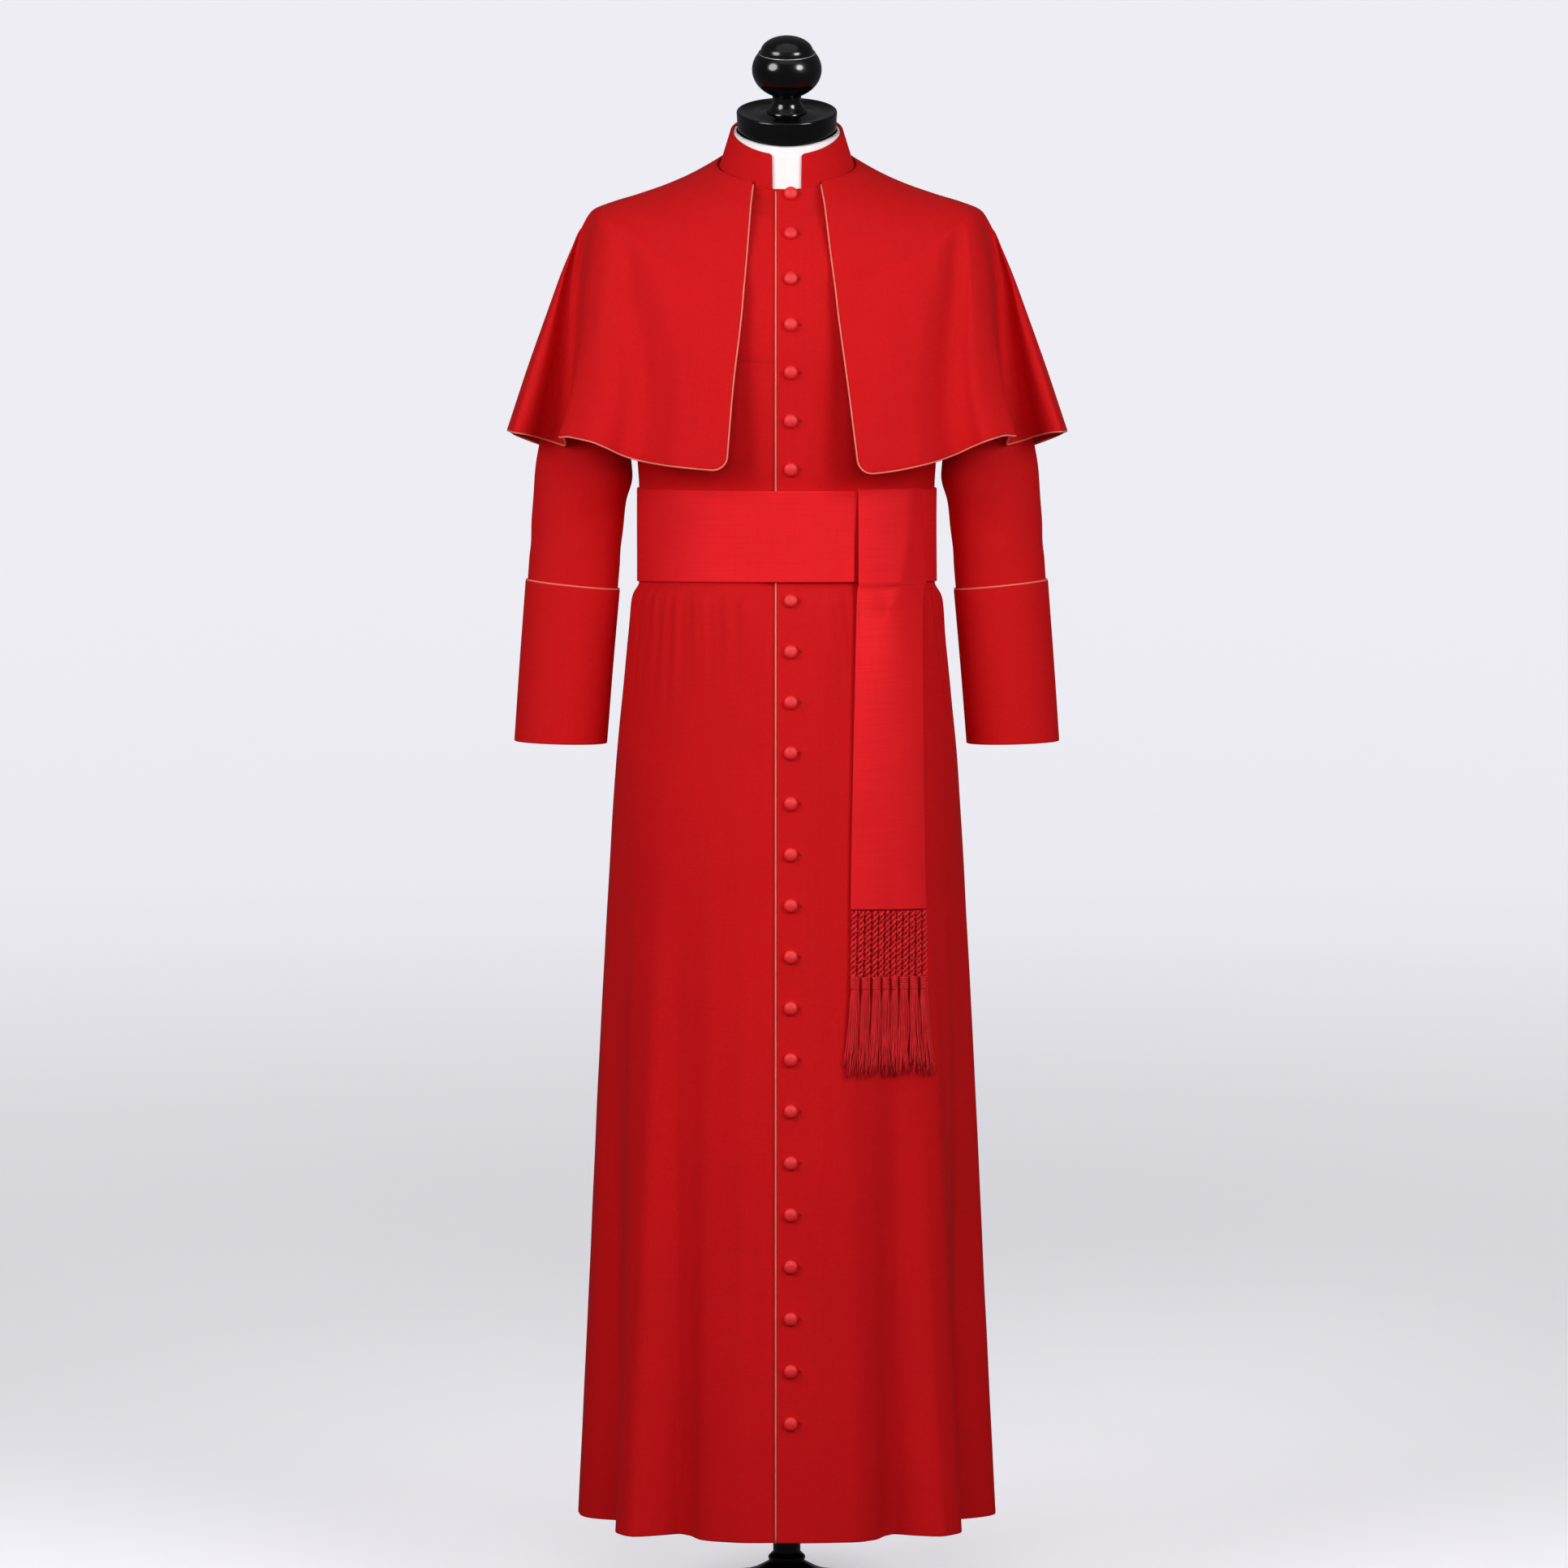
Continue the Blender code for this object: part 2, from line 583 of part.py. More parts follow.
def collar_size(which, rise):
    """The half width (0), front (1) or back (2) of the collar's inner face, rise above the neckline."""
    return COLLAR_FOOT[which] + (COLLAR_TOP[which] - COLLAR_FOOT[which]) * rise / COLLAR_HEIGHT


def on_collar(angles, rise, distance):
    """Points on the collar's inner face, moved out by a distance."""
    return neck(angles, *[collar_size(which, rise) + distance for which in range(3)], rise)


def make_collar():
    shares = np.array([[0.0], [0.5], [1.0]])
    start = collar_angles(COLLAR_HEIGHT * shares)
    high = COLLAR_HEIGHT - COLLAR_DIP * (0.5 + 0.5 * np.cos(start)) ** 3
    rise = COLLAR_SEAT + (high - COLLAR_SEAT) * shares
    angles = collar_angles(rise[:, :1])
    inner, outer = on_collar(angles, rise, 0), on_collar(angles, rise, COLLAR_WALL)
    wall("collar", inner, outer, wool())


def make_collar_insert():
    """The white band inside the collar."""
    shares = np.array([[0.0], [0.5], [1.0]])
    start = collar_angles(INSERT_HEIGHT * shares)
    high = INSERT_HEIGHT + INSERT_RISE * (0.5 + 0.5 * np.cos(start)) ** 3
    rise = COLLAR_SEAT + (high - COLLAR_SEAT) * shares
    rise = np.concatenate([rise[:, :1], rise], axis=1)
    angles = collar_angles(rise[:, :1])
    angles = np.concatenate([0 * angles[:, :1], angles], axis=1)
    outer, inner = on_collar(angles, rise, -1.5 * GAP), on_collar(angles, rise, -1.5 * GAP - WALL)
    wall("collar_insert", inner, outer, finish("insert", WHITE, 0.5), closed=True)


def button_heights():
    for row in (UPPER_BUTTONS, LOWER_BUTTONS):
        for step in range(row.count):
            yield row.first - step * row.space - step**2 * row.grow


def button_seat(height):
    """Where a button's middle meets the flat facets of the left front."""
    rows = body_rows()
    above = np.searchsorted(rows, height)
    pair = rows[above - 1 : above + 1]
    first, second = (off_body(angle_at(x, pair), pair, WALL) for x in LEFT_FRONT_X[:2])
    low, high = first + (second - first) * (BUTTON_X - LEFT_FRONT_X[0]) / (LEFT_FRONT_X[1] - LEFT_FRONT_X[0])
    return low + (high - low) * (height - pair[0]) / (pair[1] - pair[0])


def make_buttons():
    profile = [(0, 0), (0.82 * BUTTON_RADIUS, 0)]
    for turn in np.radians([10, 48]):
        profile.append((BUTTON_RADIUS * math.cos(turn), BUTTON_HEIGHT * (0.15 + 0.85 * math.sin(turn))))
    profile.append((0, BUTTON_HEIGHT))
    shared = None
    for number, height in enumerate(button_heights(), 1):
        angle = angle_at(BUTTON_X, height)
        out = Vector(outward(body, angle, np.asarray(height)))
        matrix = Matrix.Translation(Vector(button_seat(height)) + out * 2 * GAP) @ out.to_track_quat("Z", "Y").to_matrix().to_4x4()
        if shared is None:
            shared = turned(f"button_{number:02d}", profile, 8, wool(), matrix).data
            continue
        obj = bpy.data.objects.new(f"button_{number:02d}", shared)
        bpy.context.scene.collection.objects.link(obj)
        obj.matrix_world = matrix


# ---------------------------------------------------------------- the cape

def cape_angles(side):
    """Angles of the columns in each row of one half of the cape, from its front edge to the middle of the back."""
    part = np.array(CAPE_ROWS)
    width, square = read(CAPE, "half_width", part), read(CAPE, "square", part)
    length = 0.32  # of the front edge, for the corner's share of it
    into = np.clip((part - 1) * length / CAPE_CORNER + 1, 0, 1)
    corner = CAPE_CORNER * (1 - np.sqrt(1 - into**2))
    edge = np.arcsin(((read(CAPE_EDGES, side, part) + corner) / width) ** (1 / square))
    angles = np.linspace(0, math.pi, 600)
    points = cape(angles * (-1 if side == "right" else 1), np.ones(600))
    run = np.concatenate([[0], np.cumsum(np.linalg.norm(np.diff(points, axis=0), axis=1))])
    start = np.interp(edge[-1], angles, run)
    columns = np.interp(np.linspace(start, run[-1], CAPE_COLUMNS + 1), run, angles)
    shares = (columns - edge[-1]) / (math.pi - edge[-1])
    middle = math.pi - GAP / 2 / read(CAPE, "back", part)
    return edge[:, None] + (middle - edge)[:, None] * shares, part


def make_cape():
    for side, sign in (("right", -1), ("left", 1)):
        angles, part = cape_angles(side)
        angles = sign * angles
        parts = part[:, None]
        inner, outer = off_cape(angles, parts, -WALL), cape(angles, parts)
        wall(f"cape_{side}", inner, outer, wool())
        middle, through = (inner + outer) / 2, outer - inner
        path = np.concatenate([middle[1:, 0], middle[-1, 1:]])
        across = np.concatenate([through[1:, 0], through[-1, 1:]])
        away = np.cross(np.gradient(path, axis=0), across) * sign
        away /= np.linalg.norm(away, axis=1, keepdims=True)
        piping(f"piping_cape_{side}", path + away * (GAP + 1.1 * PIPING_RADIUS))


# ---------------------------------------------------------------- the sash

def make_sash_band():
    """The band starts under its own end, in front on the left, and runs once round the waist."""
    rows = np.array([SASH_LOW, SASH_TOP])
    ring = round_angles(rows)
    start, end = (np.argmin(np.abs(ring[0] - angle_at(x, SASH_LOW))) for x in LEFT_FRONT_X[3:])
    order = list(range(start, ring.shape[1])) + list(range(end + 1))
    angles = ring[:, order]
    over = np.zeros(len(order))
    lap = np.arange(len(order)) >= ring.shape[1] - start
    x = body(angles, rows[:, None])[0, :, 0]
    over[lap] = (WALL + GAP) * ease((x[lap] + 0.05) / 0.065)
    over[x < LAP_START - 0.02] = 0
    near = WALL + GAP + over
    levels = rows[:, None]
    wall("sash_band", off_body(angles, levels, near), off_body(angles, levels, near + WALL), silk())


def tail_angles(heights):
    share = (heights - SASH_TOP) / (TAIL_END - SASH_TOP)
    low = TAIL_TOP_X[0] + (TAIL_END_X[0] - TAIL_TOP_X[0]) * share
    high = TAIL_TOP_X[1] + (TAIL_END_X[1] - TAIL_TOP_X[1]) * share
    first, last = angle_at(low, heights), angle_at(high, heights)
    return first[:, None] + (last - first)[:, None] * np.linspace(0, 1, TAIL_COLUMNS + 1)


def make_sash_tail():
    """The hanging end comes over the band's top edge and falls in front of the skirt."""
    over = SASH_TOP + GAP
    inner_rows = np.array([over, over, SASH_LOW, 1.08, 0.98, 0.88, TAIL_END])
    outer_rows = np.array([over + WALL, over + 0.85 * WALL, SASH_LOW, 1.08, 0.98, 0.88, TAIL_END])
    clear = TAIL_STANDOFF
    inner_off = np.array([WALL + 3 * GAP, clear, clear, clear + 0.003, clear + 0.003, clear + 0.002, clear])
    outer_off = inner_off + [0, 0.85 * WALL, *[WALL] * 5]
    angles = tail_angles(inner_rows)
    inner = off_body(angles, inner_rows[:, None], inner_off[:, None])
    outer = off_body(angles, outer_rows[:, None], outer_off[:, None])
    wall("sash_tail", inner, outer, silk())
    rows = np.linspace(TAIL_END - GAP, NET_END, 4)
    angles = tail_angles(rows)
    near = np.linspace(TAIL_STANDOFF, TAIL_STANDOFF - 0.001, 4)[:, None]
    wall("sash_net", off_body(angles, rows[:, None], near), off_body(angles, rows[:, None], near + 1.3 * WALL), silk())


def make_sash_fringe():
    """Strands hang in tassels from a narrow strip under the net, fanning out a little at their ends."""
    rows = np.array([NET_END - GAP, NET_END - 0.006])
    near = TAIL_STANDOFF - 0.001
    angles = tail_angles(rows)
    levels = rows[:, None]
    fringe = wall("sash_fringe", off_body(angles, levels, near), off_body(angles, levels, near + WALL), silk())
    bm = bmesh.new()
    first, last = tail_angles(rows[1:])[0, [0, -1]]
    count = TASSELS * STRANDS_PER_TASSEL
    for strand in range(count):
        tassel, inside = divmod(strand, STRANDS_PER_TASSEL)
        root = (tassel + 0.26 + 0.48 * inside / (STRANDS_PER_TASSEL - 1)) / TASSELS
        spread = 0.5 + (root - 0.5) * 1.04 + 0.3 * (inside / (STRANDS_PER_TASSEL - 1) - 0.5) / TASSELS
        end = FRINGE_END + 0.006 * (0.5 + 0.5 * math.sin(2.4 * strand))
        heights = np.array([rows[0] - 0.002, rows[1] - 0.03, (rows[1] + end) / 2, end])
        shares = root + (spread - root) * np.array([0, 0.15, 0.5, 1.0])
        turn = first + (last - first) * shares
        centre = off_body(turn, heights, near + WALL / 2)
        out = outward(body, turn, heights)
        side = np.cross(out, [0, 0, 1])
        side /= np.linalg.norm(side, axis=1, keepdims=True)
        square = [(1, 1), (-1, 1), (-1, -1), (1, -1)]
        rings = [
            [bm.verts.new(c + STRAND_HALF * (a * s + b * 0.9 * o)) for a, b in square]
            for c, s, o in zip(centre, side, out)
        ]
        for upper, lower in zip(rings[:-1], rings[1:]):
            strip(bm, upper + upper[:1], lower + lower[:1])
        bm.faces.new(rings[0])
        bm.faces.new(rings[-1][::-1])
    strands = face_out("strand_guide", bm, silk())
    strands.hide_render = True
    strands.display_type = "WIRE"
    join = fringe.modifiers.new("strands", "BOOLEAN")
    join.operation = "UNION"
    join.object = strands


# ---------------------------------------------------------------- the dress form and its stand

def make_form():
    """The limbless body inside the cassock. It carries the cloth along the shoulders and stays clear elsewhere."""
    high = [row for row in body_rows() if row >= SHOULDER - 1e-9]
    rows = np.array([FORM_FOOT, 0.955, 1.02, 1.08, SASH_LOW, SASH_TOP, 1.30, ARMPIT, ARM_MIDDLE, 1.492] + high)
    angles = round_angles(rows)
    levels = rows[:, None]
    hips = 0.016 * ease((SASH_LOW - levels) / (SASH_LOW - FORM_FOOT))
    foot = 0.012 * (levels < FORM_FOOT + 0.001)
    off_seat = 0.009 * np.clip((1.530 - levels) / 0.05, 0, 1)
    clear = GAP + 0.0055 * np.abs(np.cos(angles)) + hips + foot + off_seat
    skin = off_body(angles, levels, -clear)
    skin[0, :, 2] = FORM_FOOT
    skin[-1] = on_collar(angles[-1], 0, -0.0008 - 0.003 * np.clip(np.cos(angles[-1]), 0, 1))
    bm = bmesh.new()
    rings = [[bm.verts.new(p) for p in row] for row in skin]
    for low, up in zip(rings[:-1], rings[1:]):
        strip(bm, low + low[:1], up + up[:1])
    for ring, points in ((rings[0], skin[0]), (rings[-1], skin[-1])):
        middle = bm.verts.new(points.mean(axis=0))
        for a, b in zip(ring, ring[1:] + ring[:1]):
            bm.faces.new((a, b, middle))
    face_out("form_body", bm, finish("linen", LINEN, 0.8))


def neck_matrix(rise):
    """The frame of a turned piece on the leaning neck."""
    centre = neck(0.0, 0.0, 0.0, 0.0, rise)
    middle = (COLLAR_TOP[1] - COLLAR_TOP[2]) / 2
    back = Vector((0, -middle * math.cos(NECK_LEAN), -middle * math.sin(NECK_LEAN)))
    return Matrix.Translation(Vector(centre) + back) @ Matrix.Rotation(NECK_LEAN, 4, "X")


def make_neck_block():
    profile = [
        (0, 0), (0.0440, 0), (0.0462, 0.002), (0.0482, 0.025), (0.0508, 0.0465), (0.0530, 0.0582), (0.0532, 0.0607),
        (0.0520, 0.0624), (0.0492, 0.0624), (0.0470, 0.0602), (0.0360, 0.0567), (0.0215, DISH), (0, DISH),
    ]  # fmt: skip
    turned("form_neck_block", profile, 24, lacquer(), neck_matrix(BLOCK_SEAT))


def make_finial():
    """A flattened ball on a flared stem, with a domed cap let into its top."""
    stem = [(0, 0), (0.0222, 0), (0.0214, 0.0020), (0.0184, 0.0055), (0.0158, 0.0095), (0.0144, 0.0150)]
    middle, wide, tall, seam, dome = 0.0482, 0.0369, 0.0300, 0.0297, 0.0166
    ball = [
        (wide * math.cos(turn), middle + tall * math.sin(turn))
        for turn in np.linspace(math.radians(-65), math.acos(seam / wide), 8)
    ]
    shoulder = ball[-1][1]
    groove = [(seam - 0.0014, shoulder + 0.0003), (seam - 0.0016, shoulder + 0.0010)]
    cap = [
        ((seam - 0.0018) * math.cos(turn), shoulder + 0.0010 + dome * math.sin(turn))
        for turn in np.radians([18, 42, 66])
    ]
    crown = [(0, shoulder + 0.0010 + dome)]
    turned("form_finial", stem + ball + groove + cap + crown, 18, lacquer(), neck_matrix(BLOCK_SEAT + DISH + GAP))


def make_stand():
    tall = FORM_FOOT - BASE_NECK - 2 * GAP
    pole = [(0, 0), (POLE_RADIUS, 0), (POLE_RADIUS, tall), (0, tall)]
    turned("stand_pole", pole, 16, lacquer(), Matrix.Translation((0, 0, BASE_NECK + GAP)))
    base = [
        (0, 0), (0.1630, 0), (0.1660, 0.004), (0.1660, 0.0115), (0.1610, 0.0160), (0.1520, 0.0190), (0.1250, 0.0265),
        (0.0900, 0.0350), (0.0600, 0.0430), (0.0385, 0.0505), (0.0250, 0.0575), (0.0190, 0.0610), (0.0198, 0.0635),
        (0.0198, 0.0665), (0.0175, 0.0690), (0.0165, BASE_NECK), (0, BASE_NECK),
    ]  # fmt: skip
    turned("stand_base", base, 28, lacquer())


def main():
    for obj in list(bpy.data.objects):
        bpy.data.objects.remove(obj)
    make_fronts_and_backs()
    make_front_piping()
    make_sleeves()
    make_collar()
    make_collar_insert()
    make_buttons()
    make_cape()
    make_sash_band()
    make_sash_tail()
    make_sash_fringe()
    make_form()
    make_neck_block()
    make_finial()
    make_stand()


main()
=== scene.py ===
"""A cassock with a shoulder cape and a fringed sash, dressed on its form in a plain studio.

Metres, +Z up. The front faces -Y, and the wearer's left is +X. Cloth is made as walls off the same surface
functions that its solids follow, so pieces that lie on each other share their points.
"""

import json
import math
from collections import namedtuple

import bpy
import numpy as np
from bpy.props import FloatProperty, FloatVectorProperty, IntProperty, PointerProperty
from mathutils import Matrix, Vector
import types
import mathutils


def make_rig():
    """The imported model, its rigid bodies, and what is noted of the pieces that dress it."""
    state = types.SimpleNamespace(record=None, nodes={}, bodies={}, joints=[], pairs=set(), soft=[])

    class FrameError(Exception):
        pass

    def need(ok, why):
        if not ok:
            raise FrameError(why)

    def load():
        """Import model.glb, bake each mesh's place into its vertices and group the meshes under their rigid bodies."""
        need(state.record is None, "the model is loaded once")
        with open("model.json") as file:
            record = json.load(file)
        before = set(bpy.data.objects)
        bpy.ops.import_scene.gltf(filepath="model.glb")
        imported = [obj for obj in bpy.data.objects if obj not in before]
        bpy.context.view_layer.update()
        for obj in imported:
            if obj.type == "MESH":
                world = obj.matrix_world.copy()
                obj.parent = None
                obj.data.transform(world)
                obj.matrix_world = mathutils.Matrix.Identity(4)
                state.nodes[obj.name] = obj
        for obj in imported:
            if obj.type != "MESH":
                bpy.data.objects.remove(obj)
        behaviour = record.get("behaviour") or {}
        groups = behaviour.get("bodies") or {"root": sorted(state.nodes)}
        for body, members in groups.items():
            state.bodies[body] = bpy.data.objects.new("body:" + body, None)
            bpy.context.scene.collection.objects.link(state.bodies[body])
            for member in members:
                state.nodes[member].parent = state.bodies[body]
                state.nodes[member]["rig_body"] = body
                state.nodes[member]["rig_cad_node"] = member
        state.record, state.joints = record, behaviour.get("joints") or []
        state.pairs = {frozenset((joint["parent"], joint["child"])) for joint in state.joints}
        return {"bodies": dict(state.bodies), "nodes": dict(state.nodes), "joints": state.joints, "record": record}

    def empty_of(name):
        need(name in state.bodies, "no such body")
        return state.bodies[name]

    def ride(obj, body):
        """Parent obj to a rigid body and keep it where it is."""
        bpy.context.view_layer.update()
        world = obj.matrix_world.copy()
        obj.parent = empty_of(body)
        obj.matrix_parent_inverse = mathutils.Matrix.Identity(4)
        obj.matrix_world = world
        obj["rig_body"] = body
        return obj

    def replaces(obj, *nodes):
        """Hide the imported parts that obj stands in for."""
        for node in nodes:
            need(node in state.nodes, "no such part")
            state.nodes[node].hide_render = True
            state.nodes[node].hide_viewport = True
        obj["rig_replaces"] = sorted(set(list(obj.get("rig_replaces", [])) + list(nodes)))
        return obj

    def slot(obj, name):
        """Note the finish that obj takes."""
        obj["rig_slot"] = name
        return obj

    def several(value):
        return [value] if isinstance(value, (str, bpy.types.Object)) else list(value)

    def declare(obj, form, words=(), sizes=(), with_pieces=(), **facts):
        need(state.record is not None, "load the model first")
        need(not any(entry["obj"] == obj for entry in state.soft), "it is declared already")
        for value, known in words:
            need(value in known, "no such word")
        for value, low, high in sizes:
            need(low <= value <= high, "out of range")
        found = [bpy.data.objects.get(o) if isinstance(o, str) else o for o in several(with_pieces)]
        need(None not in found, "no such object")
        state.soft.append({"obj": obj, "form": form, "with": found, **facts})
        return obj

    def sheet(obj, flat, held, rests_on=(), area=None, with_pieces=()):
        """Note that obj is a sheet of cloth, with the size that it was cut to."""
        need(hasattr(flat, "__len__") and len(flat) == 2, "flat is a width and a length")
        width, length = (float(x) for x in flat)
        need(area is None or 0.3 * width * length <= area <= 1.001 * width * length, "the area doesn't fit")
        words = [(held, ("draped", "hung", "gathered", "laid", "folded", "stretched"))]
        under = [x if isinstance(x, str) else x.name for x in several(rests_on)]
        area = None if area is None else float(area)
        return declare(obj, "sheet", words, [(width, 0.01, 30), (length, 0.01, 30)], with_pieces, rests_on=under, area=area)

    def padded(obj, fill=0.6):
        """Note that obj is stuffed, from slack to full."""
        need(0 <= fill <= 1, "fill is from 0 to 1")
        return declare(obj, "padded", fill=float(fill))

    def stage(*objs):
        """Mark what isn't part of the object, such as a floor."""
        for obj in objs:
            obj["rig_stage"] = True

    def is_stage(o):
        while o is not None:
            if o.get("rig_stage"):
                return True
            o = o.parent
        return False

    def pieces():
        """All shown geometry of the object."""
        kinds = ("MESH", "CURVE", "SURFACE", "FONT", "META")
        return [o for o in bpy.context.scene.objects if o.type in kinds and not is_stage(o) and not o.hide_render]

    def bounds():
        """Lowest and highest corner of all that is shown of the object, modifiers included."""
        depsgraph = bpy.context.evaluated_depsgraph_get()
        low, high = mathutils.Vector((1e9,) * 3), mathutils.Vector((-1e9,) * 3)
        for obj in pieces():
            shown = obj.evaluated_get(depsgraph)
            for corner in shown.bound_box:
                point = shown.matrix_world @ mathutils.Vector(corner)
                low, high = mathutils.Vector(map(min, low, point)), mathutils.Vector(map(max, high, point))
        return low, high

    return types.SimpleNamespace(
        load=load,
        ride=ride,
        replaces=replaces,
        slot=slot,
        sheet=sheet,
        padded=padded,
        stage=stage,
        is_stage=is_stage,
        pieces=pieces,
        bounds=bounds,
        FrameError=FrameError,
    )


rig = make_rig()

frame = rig.load()
CAD_LOW, CAD_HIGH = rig.bounds()

bl_info = {
    "name": "Cassock Dresser",
    "version": (1, 0, 0),
    "blender": (4, 5, 0),
    "location": "View3D > Sidebar > Cassock",
    "description": "Dresses a form with a caped cassock and its sash, and sets the studio round it",
    "category": "Object",
}


def table(columns, *rows):
    """Rows with named columns."""
    Row = namedtuple("Row", columns)
    return [Row(*row) for row in rows]


WALL = 0.0020  # thickness of the cloth
GAP = 0.0003  # room between two pieces that lie on each other
SEAM = 0.00002  # and between two panels that are sewn together
SOFT_EDGE = 0.0005  # how far a wall's edges are rounded back
EDGE_LOOP = 0.0016  # a row of points this far inside an edge keeps its rounding narrow
TINY = 0.0002  # radius at which a turned piece is closed on its axis

# ---- the cassock
HEM, HEM_DIP = 0.123, 0.006
SASH_LOW, SASH_TOP = 1.1225, 1.2225
NECK, NECK_LEAN = 1.5635, math.radians(17.5)
# Its inner face, level by level. drop is how far the front of a level lies below its sides, and rise how far
# the back lies above them, which leans the upper levels forward to meet the neck.
BODY = table(
    "height half_width front back drop rise",
    (HEM, 0.2200, 0.198, 0.213, 0, 0),
    (0.210, 0.2160, 0.194, 0.209, 0, 0),
    (0.390, 0.2077, 0.184, 0.200, 0, 0),
    (0.560, 0.2003, 0.175, 0.192, 0, 0),
    (0.740, 0.1915, 0.164, 0.180, 0, 0),
    (0.930, 0.1805, 0.151, 0.165, 0, 0),
    (1.010, 0.1725, 0.144, 0.154, 0, 0),
    (1.070, 0.1650, 0.137, 0.144, 0, 0),
    (1.106, 0.1612, 0.130, 0.135, 0, 0),
    (SASH_LOW, 0.1558, 0.124, 0.128, 0, 0),
    (SASH_TOP, 0.1555, 0.121, 0.125, 0, 0),
    (1.240, 0.1560, 0.123, 0.127, 0, 0),
    (1.300, 0.1615, 0.125, 0.129, 0, 0),
    (1.356, 0.1735, 0.126, 0.132, 0, 0),
    (1.440, 0.1830, 0.113, 0.128, 0.004, 0.003),
    (1.480, 0.1855, 0.097, 0.120, 0.007, 0.006),
    (1.518, 0.1850, 0.074, 0.102, 0.011, 0.009),
    (1.5285, 0.1520, 0.0675, 0.094, 0.014, 0.013),
    (1.5425, 0.1150, 0.0605, 0.085, 0.0155, 0.0165),
    (NECK, 0.0690, 0.055, 0.075, 0.01735, 0.0236),
)
# Soft folds of the skirt at the hem: out from the plain section (+) or in (-), by degrees round from the front.
SKIRT_FOLDS = table(
    "angle offset",
    (-195, 0.007), (-180, -0.008), (-164, 0.008), (-148, -0.016), (-131, 0.010), (-113, -0.020), (-95, 0.001),
    (-81, 0.003), (-65, -0.038), (-55, -0.002), (-49.5, 0.012), (-45, 0.014), (-40, -0.004), (-35, -0.025),
    (-31, -0.022), (-24, -0.004), (-18, 0), (0, 0), (19, 0.001), (25, -0.003), (31, -0.020), (35, -0.024),
    (40, -0.004), (45, 0.014), (51, 0.012), (56, -0.004), (67, -0.036), (83, 0.003), (97, 0.001),
    (114, -0.021), (132, 0.010), (149, -0.015), (165, 0.007), (180, -0.008), (196, 0.008),
)  # fmt: skip
FOLDS_START = 1.02  # height where the folds have died out
FOLD_GROWTH = 2.05  # above 1, the folds open late, towards the hem
NECK_SCOOP, SCOOP_START = 0.0085, 1.5285  # the neckline is cut lower in front, from this height up
ARM_MIDDLE, ARM_HALF_HEIGHT, ARM_HALF_DEPTH = 1.437, 0.081, 0.061  # the armhole, an oval in the side
SHOULDER, ARMPIT = ARM_MIDDLE + ARM_HALF_HEIGHT, ARM_MIDDLE - ARM_HALF_HEIGHT
FRONT_EDGE, UNDERLAP_EDGE = -0.0105, 0.032  # where the left front ends, and the right one under it
LAP_START, LAP_END = -0.030, -0.013  # between these the right front sinks under the left one
FRONT_COLUMNS, UNDERLAP_COLUMNS, BACK_COLUMNS = 70, 78, 64
BODY_CLOTH = ["cloth_front_left", "cloth_front_right", "cloth_back_left", "cloth_back_right"]
PIPING_SIDES = 8

# Small creases of the cloth as it hangs on the form: how deep each kind is, and where it lies.
GATHER_DEPTH, GATHER_DROP = 0.0030, 0.19  # under the sash
DRAPE_DEPTH, BLOUSE_DEPTH = 0.0010, 0.0007  # down the skirt, and over the sash
SLUB_DEPTH, RIPPLE_DEPTH, BEND_DEPTH = 0.00012, 0.0007, 0.0011  # all over, on the cape, and at the elbows

# ---- the cape
# Its outer face, level by level from the neckline to the hem. drop and fall are how far the front and the back
# of a level lie below its sides, ease how roundly, and square how full its corners are.
CAPE = table(
    "part height half_width front back drop fall ease square",
    (0.00, 1.5662, 0.0740, 0.0605, 0.0808, 0.0224, -0.0253, 1.0, 1.00),
    (0.12, 1.5503, 0.1118, 0.0770, 0.0965, 0.0268, -0.0150, 1.1, 0.97),
    (0.27, 1.5335, 0.1600, 0.1000, 0.1120, 0.0500, -0.0060, 1.5, 0.92),
    (0.38, 1.5252, 0.1870, 0.1130, 0.1220, 0.0720, 0.0060, 1.8, 0.89),
    (0.44, 1.5165, 0.2066, 0.1220, 0.1300, 0.0800, 0.0130, 2.0, 0.87),
    (0.50, 1.4965, 0.2188, 0.1290, 0.1370, 0.0800, 0.0180, 2.0, 0.86),
    (0.60, 1.4540, 0.2371, 0.1380, 0.1460, 0.0740, 0.0240, 2.0, 0.85),
    (0.70, 1.4100, 0.2523, 0.1450, 0.1530, 0.0660, 0.0270, 2.0, 0.84),
    (0.85, 1.3440, 0.2745, 0.1530, 0.1610, 0.0530, 0.0290, 2.0, 0.84),
    (1.00, 1.2780, 0.2949, 0.1600, 0.1690, 0.0390, 0.0300, 2.0, 0.84),
)
